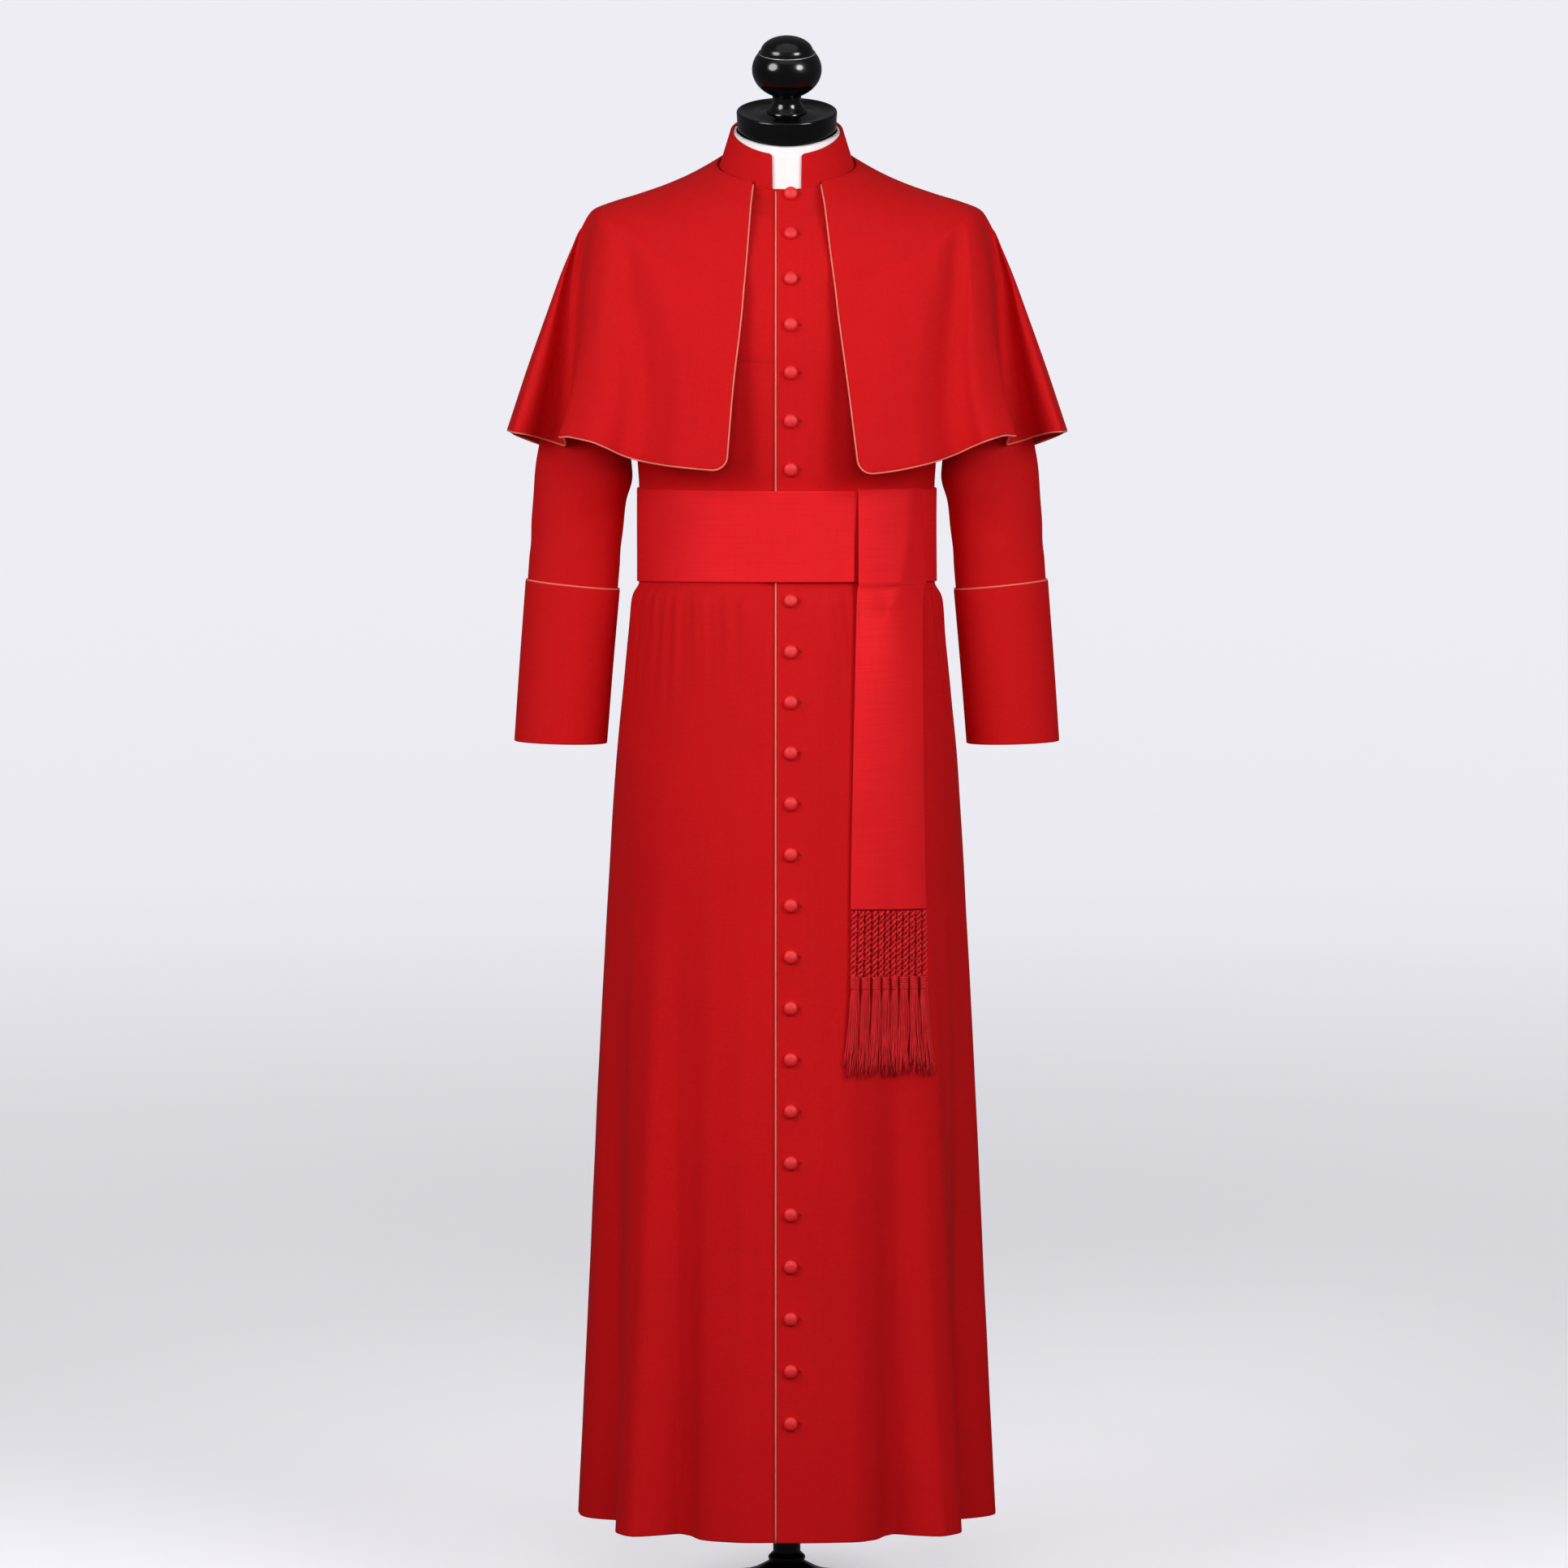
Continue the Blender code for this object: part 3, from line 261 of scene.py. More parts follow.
# Its hem, by degrees: how far it is moved aside and back from the plain section, and how much higher it hangs.
CAPE_FOLDS_RIGHT = table(
    "angle aside back lift",
    (0, 0, 0, 0.0040), (12, 0, 0, 0.0053), (19, 0, 0.0010, 0.0060), (24, 0, 0.0120, 0.0068),
    (28, 0, 0.0200, 0.0080), (32, 0, 0.0150, 0.0110), (36, 0.0020, 0.0030, 0.0170),
    (40, 0.0040, -0.0010, 0.0205), (45, 0.0065, 0.0040, 0.0210), (48.5, 0.0066, 0.0110, 0.0180),
    (51.5, -0.0044, 0.0280, 0.0165), (56, -0.0164, 0.0560, 0.0030), (61, -0.0143, 0.0540, 0.0040),
    (66, -0.0105, 0.0360, 0.0059), (72, -0.0060, -0.0130, 0.0073), (78, -0.0010, -0.0320, 0.0074),
    (84, 0, -0.0260, 0.0072), (88, 0.0010, -0.0150, 0.0065), (97, 0, 0, 0.0025),
    (106, -0.0294, -0.0059, -0.0105), (122, 0.0056, 0.0022, 0.0010), (139, -0.0168, -0.0108, -0.0030),
    (155, 0.0041, 0.0044, 0.0010), (170, -0.0038, -0.0093, -0.0020), (180, 0, -0.0070, 0),
    (190, 0, -0.0090, -0.0020),
)  # fmt: skip
CAPE_FOLDS_LEFT = table(
    "angle aside back lift",
    (0, 0, 0, 0), (12, 0, 0, 0.0005), (18, 0, 0, 0.0020), (24, 0, 0.0020, 0.0048),
    (28, 0, 0.0100, 0.0070), (33, 0, 0.0240, 0.0110), (37.5, 0.0005, 0.0120, 0.0165),
    (41, 0.0010, -0.0020, 0.0198), (46, 0.0020, 0.0020, 0.0214), (50, 0.0033, 0.0090, 0.0185),
    (53, -0.0087, 0.0270, 0.0165), (57, -0.0200, 0.0560, 0.0035), (61, -0.0170, 0.0550, 0.0040),
    (66, -0.0100, 0.0360, 0.0073), (72, -0.0050, -0.0120, 0.0089), (78, 0, -0.0320, 0.0080),
    (84, 0.0015, -0.0260, 0.0066), (88, 0.0020, -0.0150, 0.0057), (97, 0, 0, 0.0020),
    (107, -0.0275, -0.0060, -0.0105), (123, 0.0056, 0.0022, 0.0010), (140, -0.0176, -0.0113, -0.0030),
    (156, 0.0035, 0.0037, 0.0010), (170, -0.0034, -0.0084, -0.0020), (180, 0, -0.0070, 0),
    (191, 0, -0.0090, -0.0020),
)  # fmt: skip
CAPE_FOLDS_START = 0.43
# Below 1 the folds open early, from the shoulder, and above 1 late.
CAPE_BACK_GROWTH, CAPE_FORWARD_GROWTH, CAPE_ASIDE_GROWTH = 0.56, 1.25, 1.9
CAPE_FOLD_TURN, CAPE_TURN_GROWTH = 24, 2.2  # degrees further round that the folds start, at the shoulder
CAPE_EDGES = table(  # distances of the front edges from the middle
    "part right left",
    (0.00, 0.0360, 0.0362),
    (0.50, 0.0470, 0.0530),
    (0.75, 0.0570, 0.0650),
    (1.00, 0.0640, 0.0760),
)
CAPE_CORNER, CAPE_CORNER_PART = 0.0145, 0.040  # the rounded front corners: radius, and part of the cape
CAPE_CORNER_ROWS, CAPE_COLUMNS = 13, 177

# ---- the sleeves
# Ring by ring below the armhole: its outer and inner edges, and its depth. The last three are the cuff's.
SLEEVE = table(
    "place outer_x outer_z inner_x inner_z half_depth centre_y",
    (0, 0.1970, 1.5130, 0.1820, 1.3520, 0.0590, 0.004),
    (1, 0.2080, 1.4990, 0.1835, 1.3450, 0.0570, 0.006),
    (2, 0.2255, 1.4560, 0.1825, 1.3280, 0.0530, 0.009),
    (3, 0.2420, 1.4000, 0.1780, 1.3050, 0.0495, 0.010),
    (4, 0.2550, 1.3350, 0.1700, 1.2700, 0.0475, 0.010),
    (5, 0.2640, 1.2720, 0.1645, 1.2400, 0.0465, 0.008),
    (6, 0.2705, 1.2150, 0.1715, 1.2080, 0.0455, 0.006),
    (7, 0.2740, 1.1650, 0.1765, 1.1600, 0.0445, 0.003),
    (8, 0.2768, 1.1235, 0.1806, 1.1135, 0.0435, 0.000),
    (9, 0.2835, 1.0350, 0.1880, 1.0300, 0.0420, -0.003),
    (10, 0.2893, 0.9520, 0.1945, 0.9495, 0.0400, -0.005),
)
CUFF_PLACE, SLEEVE_END = 8, 10
SLEEVE_ROWS, CUFF_ROWS, SLEEVE_COLUMNS = 97, 41, 88
SEWN_SHARES = (0.0, 0.25, 0.5, 0.75)  # rings between the armhole and the sleeve's first own one

# ---- the collar and its insert
COLLAR_HEIGHT, COLLAR_DIP = 0.0405, 0.0135  # the red band stands lower in front
COLLAR_FOOT = (0.0685, 0.0572, 0.0782)  # half width, front and back of its inner face at the neckline
COLLAR_TOP = (0.0562, 0.0500, 0.0600)  # and at its top edge
COLLAR_NOTCH = 0.0142  # half the width of the opening in front
COLLAR_SEAT, COLLAR_SINK = 0.0010, 0.0014  # where it is sewn on, above the neckline and lower in front
COLLAR_WALL, COLLAR_CORNER = 0.0030, 0.0036
INSERT_HEIGHT, INSERT_DIP, NAPE_DIP = 0.0420, 0.0070, 0.0050
INSERT_SEAT, INSERT_SINK, INSERT_GAP = COLLAR_SEAT + 0.0042, 0.0090, 2.5 * GAP
COLLAR_ROWS, COLLAR_COLUMNS, INSERT_COLUMNS = 22, 150, 160

# ---- the buttons
BUTTONS = table(  # one at the neck, and the rows above and below the sash. Each space is a little wider.
    "first count space grow",
    (1.5562, 1, 0, 0),
    (1.4975, 6, 0.0505, 0.0),
    (1.1071, 17, 0.0522, 0.00009),
)
BUTTON_X, HOLE_X = 0.0040, 0.0090  # distances across from the middle
BUTTON_LIFT, HOLE_LIFT = 0.0004, 0.0002  # and how far they stand off the cloth
BUTTON_CUT, BUTTON_FLATTENING = 0.0022, 0.66  # where the ball is cut below its middle, and its flatness
HOLE_RADIUS, HOLE_CORD, HOLE_STRETCH = 0.0010, 0.00040, 0.0046

# ---- the sash
SASH_LIFT = 0.0038  # its lower edge rides up a little in front
BAND_START, BAND_END = 0.052, 0.0686  # distances across of its two ends
BAND_LAP = (-0.050, 0.015)  # between these its outer end climbs over the inner one
BAND_ROWS, BAND_COLUMNS = 26, 420
TAIL_TOP_X, TAIL_END_X = (0.0722, 0.1354), (0.0643, 0.1410)  # the hanging end's edges, at the sash and its end
TAIL_END, NET_END, FRINGE_END = 0.7855, 0.7110, 0.6150
TAIL_WIDTH = 0.079  # near its end
TAIL_SLANT = 0.0035  # how much lower its left side hangs than its right
TAIL_STANDOFF = 2 * WALL + 4 * GAP
TAIL_BEND = 0.0003  # radius of the inner face where it turns down over the band's top edge
TAIL_COLUMNS = 36
TAIL_FALL = table(  # how far it hangs in front of the body's own line
    "height proud",
    (TAIL_END, 0), (0.93, 0.0003), (1.01, 0.0006), (1.07, 0.0009), (1.106, 0.0022), (SASH_LOW, 0.0060),
    (SASH_TOP + GAP, 0),
)  # fmt: skip
NET_CORDS, NET_TURNS = 12, 12  # cords side by side, and half turns of their two plies
PLY_SIDEWAYS, PLY_FORWARDS, PLY_POINTS, PLY_SIDES = 0.0018, 0.0010, 8, 7
NET_STANDOFF, NET_SINK = TAIL_STANDOFF + 0.0020, 0.0010  # and how much closer it lies at its end
TIE_THICKNESS, TIE_RISE = 0.55, 0.0006  # of a cord's, and how far a tie arches out
HEAD_RISE = 0.0040  # how far the heads of the fringe reach up over the net
LOCKS, WINDINGS, WINDING_PITCH, WINDING_RADIUS = 8, 6, 0.0021, 0.00115
HEAD_WIDTH, HEAD_DEPTH = 0.0035, 0.0020
GOLDEN_TURN = 2.399963  # spreads a lock's strands evenly over its round section

# ---- the form and its stand. Profiles give (radius, height) from the foot up.
FORM_FOOT, BASE_NECK, DISH = 0.930, 0.0700, 0.0575
FORM_COLUMNS, FORM_WEAVE = 144, 0.0068  # columns, and how wide the canvas is over each of them
# How far it is drawn in from the cloth: before and behind, at the hips, the foot, the shoulders and the throat.
FORM_EASE, FORM_HIPS, FORM_ROUNDING, FORM_SLACK, FORM_THROAT = 0.0055, 0.016, 0.012, 0.009, 0.004
NECK_EDGE, NECK_SEAT = 0.0012, 0.0125  # how far its neck is sunk inside the insert, and the seat of the block
BLOCK_RISE = 0.0003  # over the neckline
BLOCK_PROFILE = [
    (0.0480, 0.0), (0.0500, 0.0006), (0.0512, 0.0022), (0.0518, 0.0110), (0.0522, 0.0250), (0.0524, 0.0340),
    (0.0525, 0.0425), (0.0528, 0.0485), (0.0531, 0.0540), (0.0533, 0.0565), (0.0531, 0.0579), (0.0524, 0.0588),
    (0.0512, 0.0591), (0.0499, 0.0588), (0.0490, 0.0580), (0.0420, 0.0556), (0.0360, 0.0552), (0.0300, 0.0560),
    (0.0250, 0.0568), (0.0215, DISH), (TINY, DISH),
]  # fmt: skip
STEM_PROFILE = [
    (0.0212, 0.0), (0.0216, 0.0005), (0.0210, 0.0018), (0.0196, 0.0036), (0.0178, 0.0058), (0.0164, 0.0080),
    (0.0152, 0.0105), (0.0145, 0.0130),
]  # fmt: skip
BALL_MIDDLE, BALL_RADIUS, BALL_HALF_HEIGHT = 0.0459, 0.0369, 0.0300
CAP_SEAM, CAP_INSET, CAP_LIFT, CAP_DOME = 0.0297, 0.0018, 0.0010, 0.0166
CAP_BEAD = [(-0.0002, 0.0003), (-0.0006, 0.0005), (-0.0014, 0.0005), (-0.0017, 0.0008)]  # out and up
RING_RADIUS, RING_CORD, RING_HEIGHT = 0.0298, 0.00045, 0.0639
POLE_RADIUS, POLE_CHAMFER = 0.0148, 0.0006
FOOT_PROFILE = [
    (0.1615, 0.0), (0.1640, 0.0010), (0.1655, 0.0028), (0.1660, 0.0050), (0.1660, 0.0100), (0.1655, 0.0126),
    (0.1640, 0.0145), (0.1610, 0.0160), (0.1570, 0.0166), (0.1555, 0.0178), (0.1520, 0.0190), (0.1250, 0.0265),
    (0.0900, 0.0350), (0.0600, 0.0430), (0.0385, 0.0505), (0.0250, 0.0575), (0.0196, 0.0606), (0.0190, 0.0616),
    (0.0199, 0.0636), (0.0201, 0.0650), (0.0198, 0.0665), (0.0178, 0.0684), (0.0168, 0.0692),
    (0.0163, BASE_NECK), (TINY, BASE_NECK),
]  # fmt: skip
SMOOTH_ANGLE = math.radians(32)

# ---- the studio
CAMERA_PLACE, CAMERA_AIM = Vector((-0.003, -6.0, 1.40)), Vector((-0.003, 0.0, 0.905))
LENS, SENSOR = 129.0, 36.0  # millimetres
CHEST, WAIST, HIPS = (0.0, 0.0, 1.45), (0.0, 0.0, 1.25), (0.0, 0.0, 1.0)  # what the lights aim at
SWEEP_START, SWEEP_REACH, SWEEP_BEND, SWEEP_TOP = 0.5, 7.5, 2.0, 3.6  # the floor, the curve up and the wall


# ---------------------------------------------------------------- reading the tables

def hermite(t, start, end, leave, arrive):
    """A cubic from start to end, whose steps at its two ends are given."""
    return (
        (1 + 2 * t) * (1 - t) ** 2 * start + t * (1 - t) ** 2 * leave
        + t * t * (3 - 2 * t) * end + t * t * (t - 1) * arrive
    )  # fmt: skip


def curve(xs, ys, at):
    """A smooth curve through values, with no overshoot."""
    xs, ys = np.asarray(xs, float), np.asarray(ys, float)
    width = np.diff(xs)
    slope = np.diff(ys) / width
    same = slope[:-1] * slope[1:] > 0
    near, far = 2 * width[1:] + width[:-1], width[1:] + 2 * width[:-1]
    inner = np.zeros(len(slope) - 1)
    inner[same] = (near + far)[same] / (near[same] / slope[:-1][same] + far[same] / slope[1:][same])
    tangent = np.concatenate([slope[:1], inner, slope[-1:]])
    at = np.clip(np.asarray(at, float), xs[0], xs[-1])
    i = np.clip(np.searchsorted(xs, at, side="right") - 1, 0, len(slope) - 1)
    return hermite((at - xs[i]) / width[i], ys[i], ys[i + 1], width[i] * tangent[i], width[i] * tangent[i + 1])


def read(rows, column, at):
    """A table's column at any value of its first column."""
    return curve([row[0] for row in rows], [getattr(row, column) for row in rows], at)


def ease(value, start=0, end=1):
    """0 at the start and 1 at the end, softly. The start may be the larger of the two."""
    share = np.clip((value - start) / (end - start), 0, 1)
    return share * share * (3 - 2 * share)


def spans(start, *stops):
    """Values from start on, spread evenly up to each stop in turn. A stop comes with the count of its span."""
    values = [np.array([start])]
    for stop, count in stops:
        values.append(np.linspace(values[-1][-1], stop, count)[1:])
    return np.concatenate(values)


def columns(first, last, count):
    """Angles spread evenly between the edges of each row."""
    return first + (last - first) * np.linspace(0, 1, count)


def full_turn(count):
    """Angles spread evenly round a ring."""
    return np.arange(count) * math.tau / count


def waves(first, second, *terms):
    """A sum of sines, each with its size, how fast it turns along both coordinates, and its start."""
    return sum(size * np.sin(one * first + two * second + start) for size, one, two, start in terms)


# ---------------------------------------------------------------- the garment's surfaces

def front_share(angle):
    """1 at the front of the neck, falling away to 0 behind it."""
    return (0.5 + 0.5 * np.cos(angle)) ** 3


def back_share(angle):
    """1 at the nape, falling away to 0 in front."""
    return np.sqrt(front_share(angle + np.pi))


def body(angle, height):
    """A point of the cassock's inner face, by the angle from the front and the level at its sides."""
    angle, height = np.broadcast_arrays(np.asarray(angle, float), np.asarray(height, float))
    side, ahead = np.sin(angle), np.cos(angle)
    depth = np.where(ahead > 0, read(BODY, "front", height), read(BODY, "back", height))
    x, y = read(BODY, "half_width", height) * side, -depth * ahead
    opened = np.clip((FOLDS_START - height) / (FOLDS_START - HEM), 0, 1) ** FOLD_GROWTH
    fold = opened * read(SKIRT_FOLDS, "offset", np.degrees(angle))
    spread = 1 + fold / np.hypot(x, y)
    lean = np.where(ahead > 0, read(BODY, "drop", height), read(BODY, "rise", height))
    scoop = NECK_SCOOP * front_share(angle) * ease(height, SCOOP_START, NECK)
    z = height - lean * ahead - HEM_DIP * opened * side**2 - scoop
    return np.stack([x * spread, y * spread, z], axis=-1)


def cape(angle, part):
    """A point of the cape's outer face. part runs from 0 at the neckline to 1 at the hem."""
    angle, part = np.broadcast_arrays(np.asarray(angle, float), np.asarray(part, float))
    side, ahead = np.sin(angle), np.cos(angle)
    square = read(CAPE, "square", part)
    depth = np.where(ahead > 0, read(CAPE, "front", part), read(CAPE, "back", part))
    x = read(CAPE, "half_width", part) * (np.sign(side) * np.abs(side) ** square)
    y = -depth * (np.sign(ahead) * np.abs(ahead) ** square)
    degrees = np.degrees(np.abs(angle))
    opened = np.clip((part - CAPE_FOLDS_START) / (1 - CAPE_FOLDS_START), 0, 1)
    turned_round = CAPE_FOLD_TURN * (1 - opened) ** CAPE_TURN_GROWTH
    degrees = degrees - turned_round * ease(degrees, 0, 45) * ease(degrees, 175, 85)
    aside, back, lift = (
        np.where(side < 0, read(CAPE_FOLDS_RIGHT, column, degrees), read(CAPE_FOLDS_LEFT, column, degrees))
        for column in ("aside", "back", "lift")
    )
    x = x + np.sign(side) * opened**CAPE_ASIDE_GROWTH * aside
    y = y + opened ** np.where(back < 0, CAPE_FORWARD_GROWTH, CAPE_BACK_GROWTH) * back
    sink = np.where(ahead > 0, read(CAPE, "drop", part), read(CAPE, "fall", part))
    z = read(CAPE, "height", part) - sink * np.abs(ahead) ** read(CAPE, "ease", part) + opened**2 * lift
    return np.stack([x, y, z], axis=-1)


def neck(angle, half_width, front, back, rise):
    """A point round the leaning neck, rise above the neckline."""
    angle, rise = np.broadcast_arrays(np.asarray(angle, float), np.asarray(rise, float))
    side, ahead = np.sin(angle), np.cos(angle)
    forward = np.where(ahead > 0, front, back) * ahead
    y = -forward * math.cos(NECK_LEAN) - rise * math.sin(NECK_LEAN)
    z = NECK - forward * math.sin(NECK_LEAN) + rise * math.cos(NECK_LEAN)
    return np.stack([half_width * side, y, z], axis=-1)


def outward(surface, first, second, step=1e-4):
    """The direction out of a surface function at each of its points."""
    along_first = surface(first + step, second) - surface(first - step, second)
    along_second = surface(first, second + step) - surface(first, second - step)
    across = np.cross(along_first, along_second)
    return across / np.linalg.norm(across, axis=-1, keepdims=True)


def lifted(surface, creases, first, second, distance, sign=1):
    """Points of a creased surface, moved out by a distance."""
    off = (np.broadcast_to(distance, np.broadcast(first, second).shape) + creases(first, second))[..., None]
    return surface(first, second) + sign * outward(surface, first, second) * off


def body_creases(angle, height):
    """The small creases of the cloth as it hangs on the form, as a distance out of the plain surface."""
    degrees = np.degrees(np.mod(angle + np.pi, 2 * np.pi) - np.pi)
    placket = ease(np.abs(degrees - 1), 6, 15)
    under_tail = 1 - ease(degrees, 21, 27) * ease(degrees, 72, 63)
    below = np.clip((SASH_LOW - height) / GATHER_DROP, 0, 1)
    gathers = placket * under_tail * ease(below, 0, 1 / 9) * (1 - ease(below)) ** 1.4
    drift = waves(angle, below, (1.5, 7, 0, 0.5), (0.9, 15, -2, 0))
    pleats = 0.5 + 0.5 * waves(angle, below, (0.60, 43, 0, 1.1 + drift), (0.40, 69, -7, 2.6 - drift))
    ripples = 1 + waves(angle, height, (0.55, 23, 0, 0.6), (0.45, 34, 2, 1.9))
    drape = placket * ease(height, 1.0, 0.5) * ripples
    over_sash = ease(height, 1.47, 1.42) * ease(height, SASH_TOP, SASH_TOP + 0.03) * placket
    blouse = over_sash * (0.5 + 0.5 * waves(angle, height, (0.6, 19, 4, 0.8), (0.4, 33, -14, 0)))
    slubs = ease(height, 1.49, 1.44) * (1 + waves(angle, height, (0.5, 5, 61, 0), (0.5, -17, 41, 1.3)))
    return GATHER_DEPTH * gathers * pleats + DRAPE_DEPTH * drape + BLOUSE_DEPTH * blouse + SLUB_DEPTH * slubs


def skin(angle, height, distance):
    """Points of the creased body surface, moved out by a distance."""
    return lifted(body, body_creases, angle, height, distance)


def cape_creases(angle, part):
    """Soft ripples of the cape, all outwards."""
    ripples = 1 + waves(angle, part, (0.6, 21, 2, 0.7), (0.4, 35, -3, 2.2))
    return RIPPLE_DEPTH * ease(part, 0.35, 0.75) * ripples


def on_cape(angle, part, distance):
    """Points of the cape's face, moved out by a distance. Its parts run downwards, so the sign turns."""
    return lifted(cape, cape_creases, angle, part, distance, sign=-1)


def angle_at(x, height):
    """The angle round the body where the plain section is x across."""
    return np.arcsin(np.clip(x / read(BODY, "half_width", height), -1, 1))


def armhole_angle(height, behind):
    """The angle round the body where the armhole's edge runs, or the side seam where there is no armhole."""
    half_depth = ARM_HALF_DEPTH * np.sqrt(np.clip(1 - ((height - ARM_MIDDLE) / ARM_HALF_HEIGHT) ** 2, 0, 1))
    depth = read(BODY, "back" if behind else "front", height)
    return np.pi / 2 + (1 if behind else -1) * np.arcsin(half_depth / depth)


def collar_size(which, rise):
    """The half width (0), front (1) or back (2) of the collar's inner face, rise above the neckline."""
    return COLLAR_FOOT[which] + (COLLAR_TOP[which] - COLLAR_FOOT[which]) * rise / COLLAR_HEIGHT


def on_collar(angles, rise, distance):
    """Points on the collar's inner face, moved out by a distance."""
    return neck(angles, *[collar_size(which, rise) + distance for which in range(3)], rise)


# ---------------------------------------------------------------- meshes of cloth and cord

def run(points, axis=0):
    """How far each point lies from the first one, along a path or along one axis of a grid."""
    steps = np.linalg.norm(np.diff(points, axis=axis), axis=-1)
    return np.insert(np.cumsum(steps, axis=axis), 0, 0, axis=axis)


def ringed(grid):
    """A tube's grid with its first column again as its last."""
    return np.concatenate([grid, grid[:, :1]], axis=1)


def facing(points, faces, uvs):
    """The parts of a closed shape, with its faces turned outwards."""
    corners = np.array([(f[0], f[k], f[k + 1]) for f in faces for k in range(1, len(f) - 1)])
    a, b, c = (points[corners[:, k]] - points.mean(axis=0) for k in range(3))
    if np.einsum("ij,ij->i", a, np.cross(b, c)).sum() < 0:
        faces, uvs = [f[::-1] for f in faces], [u[::-1] for u in uvs]
    return points, faces, uvs


def sheet_mesh(name, *parts):
    """An object from the points of a closed shape, its faces and a UV pair for each of their corners."""
    points, faces, uvs = facing(*parts)
    mesh = bpy.data.meshes.new(name)
    mesh.from_pydata(points.tolist(), [], faces)
    mesh.uv_layers.new(name="weave").data.foreach_set("uv", np.concatenate(uvs).ravel())
    mesh.shade_smooth()
    made = bpy.data.objects.new(name, mesh)
    bpy.context.scene.collection.objects.link(made)
    return made


def edge_rows(grid, pull):
    """A grid with a row added just inside its first and last ones, which may be pulled in towards it."""
    first, last = grid[1] - grid[0], grid[-2] - grid[-1]
    reach = [np.linalg.norm(step, axis=-1, keepdims=True) for step in (first, last)]
    first, last = first / reach[0], last / reach[1]
    near = [np.minimum(EDGE_LOOP, 0.5 * length) for length in reach]
    ends = [grid[0] + first * near[0], grid[-1] + last * near[1]]
    tips = [grid[0] + first * pull, grid[-1] + last * pull]
    return np.concatenate([tips[:1], ends[:1], grid[1:-1], ends[1:], tips[1:]])


def softened(grid, closed, pull):
    """A grid whose free edges are narrowed to a rounding. A closed one has none at its sides."""
    grid = edge_rows(grid, pull)
    return grid if closed else edge_rows(grid.transpose(1, 0, 2), pull).transpose(1, 0, 2)


def cloth(name, outer, inner, closed=False):
    """A wall of cloth between two grids of points, with rounded edges. A closed one is a tube."""
    middle = softened((outer + inner) / 2, closed, 0)
    around = ringed(middle) if closed else middle
    outer, inner = softened(outer, closed, SOFT_EDGE), softened(inner, closed, SOFT_EDGE)
    rows, across = middle.shape[:2]
    uv = np.stack([run(around, 1), run(around, 0)], axis=-1)
    i, j = (a.ravel() for a in np.meshgrid(np.arange(rows - 1), np.arange(around.shape[1] - 1), indexing="ij"))
    quad = [(i, j), (i, j + 1), (i + 1, j + 1), (i + 1, j)]
    ids = np.stack([r * across + c % across for r, c in quad], axis=1)
    corner_uv = np.stack([uv[r, c] for r, c in quad], axis=1)
    count = rows * across
    points = [outer.reshape(-1, 3), inner.reshape(-1, 3)]
    faces, uvs = ids.tolist() + (ids[:, ::-1] + count).tolist(), list(corner_uv) + list(corner_uv[:, ::-1])

    top = [(0, c) for c in range(across)]
    bottom = [(rows - 1, c) for c in range(across - 1, -1, -1)]
    right = [(r, across - 1) for r in range(1, rows - 1)]
    left = [(r, 0) for r in range(rows - 2, 0, -1)]
    start = 2 * count
    for rim in [top, bottom] if closed else [top + right + bottom + left]:
        points.append(np.array([middle[r, c] for r, c in rim]))
        size = len(rim)
        for k, (a, b) in enumerate(zip(rim, rim[1:] + rim[:1])):
            here, there = a[0] * across + a[1], b[0] * across + b[1]
            edge_here, edge_there = start + k, start + (k + 1) % size
            uv_here, uv_there = uv[a], uv[b]
            if closed and k == size - 1:  # over the seam of a tube
                uv_there = uv[a[0], -1 if a[1] else 0]
            faces += [
                (there, here, edge_here, edge_there), (edge_there, edge_here, here + count, there + count),
            ]  # fmt: skip
            uvs += [np.array([uv_there, uv_here, uv_here, uv_there])] * 2
        start += size
    return sheet_mesh(name, np.concatenate(points), [tuple(f) for f in faces], uvs)


def cord_parts(path, radius, sides, closed=False):
    """Points, faces and UVs of a round cord along a path. radius may change along it."""
    path = np.asarray(path, float)
    count = len(path)
    step = np.roll(path, -1, axis=0) - np.roll(path, 1, axis=0) if closed else np.gradient(path, axis=0)
    step /= np.linalg.norm(step, axis=1, keepdims=True)
    side = np.cross(step, np.where(np.abs(step[:, 2:]) > 0.8, [[0.0, 1.0, 0.0]], [[0.0, 0.0, 1.0]]))
    side /= np.linalg.norm(side, axis=1, keepdims=True)
    for k in range(1, count):  # keeps the rings from twisting
        back = side[k - 1] - step[k] * np.dot(side[k - 1], step[k])
        side[k] = back / np.linalg.norm(back)
    up = np.cross(side, step)
    turn = full_turn(sides)[None, :, None]
    radius = np.broadcast_to(radius, count)[:, None, None]
    rings = path[:, None] + radius * (np.cos(turn) * side[:, None] + np.sin(turn) * up[:, None])
    along = run(path)
    whole = along[-1] + np.linalg.norm(path[0] - path[-1])
    girth = 2 * np.pi * float(np.max(radius)) / sides
    faces, uvs = [], []
    for r in range(count if closed else count - 1):
        n = (r + 1) % count
        low, high = along[r], (along[n] if n else whole)
        for c in range(sides):
            d = (c + 1) % sides
            near, far = c * girth, (c + 1) * girth
            faces.append((r * sides + c, n * sides + c, n * sides + d, r * sides + d))
            uvs.append(np.array([[near, low], [near, high], [far, high], [far, low]]))
    if not closed:
        for r, order in ((0, range(sides)), (count - 1, range(sides - 1, -1, -1))):
            faces.append(tuple(r * sides + c for c in order))
            uvs.append(np.array([[c * girth, along[r]] for c in order]))
    return rings.reshape(-1, 3), faces, uvs


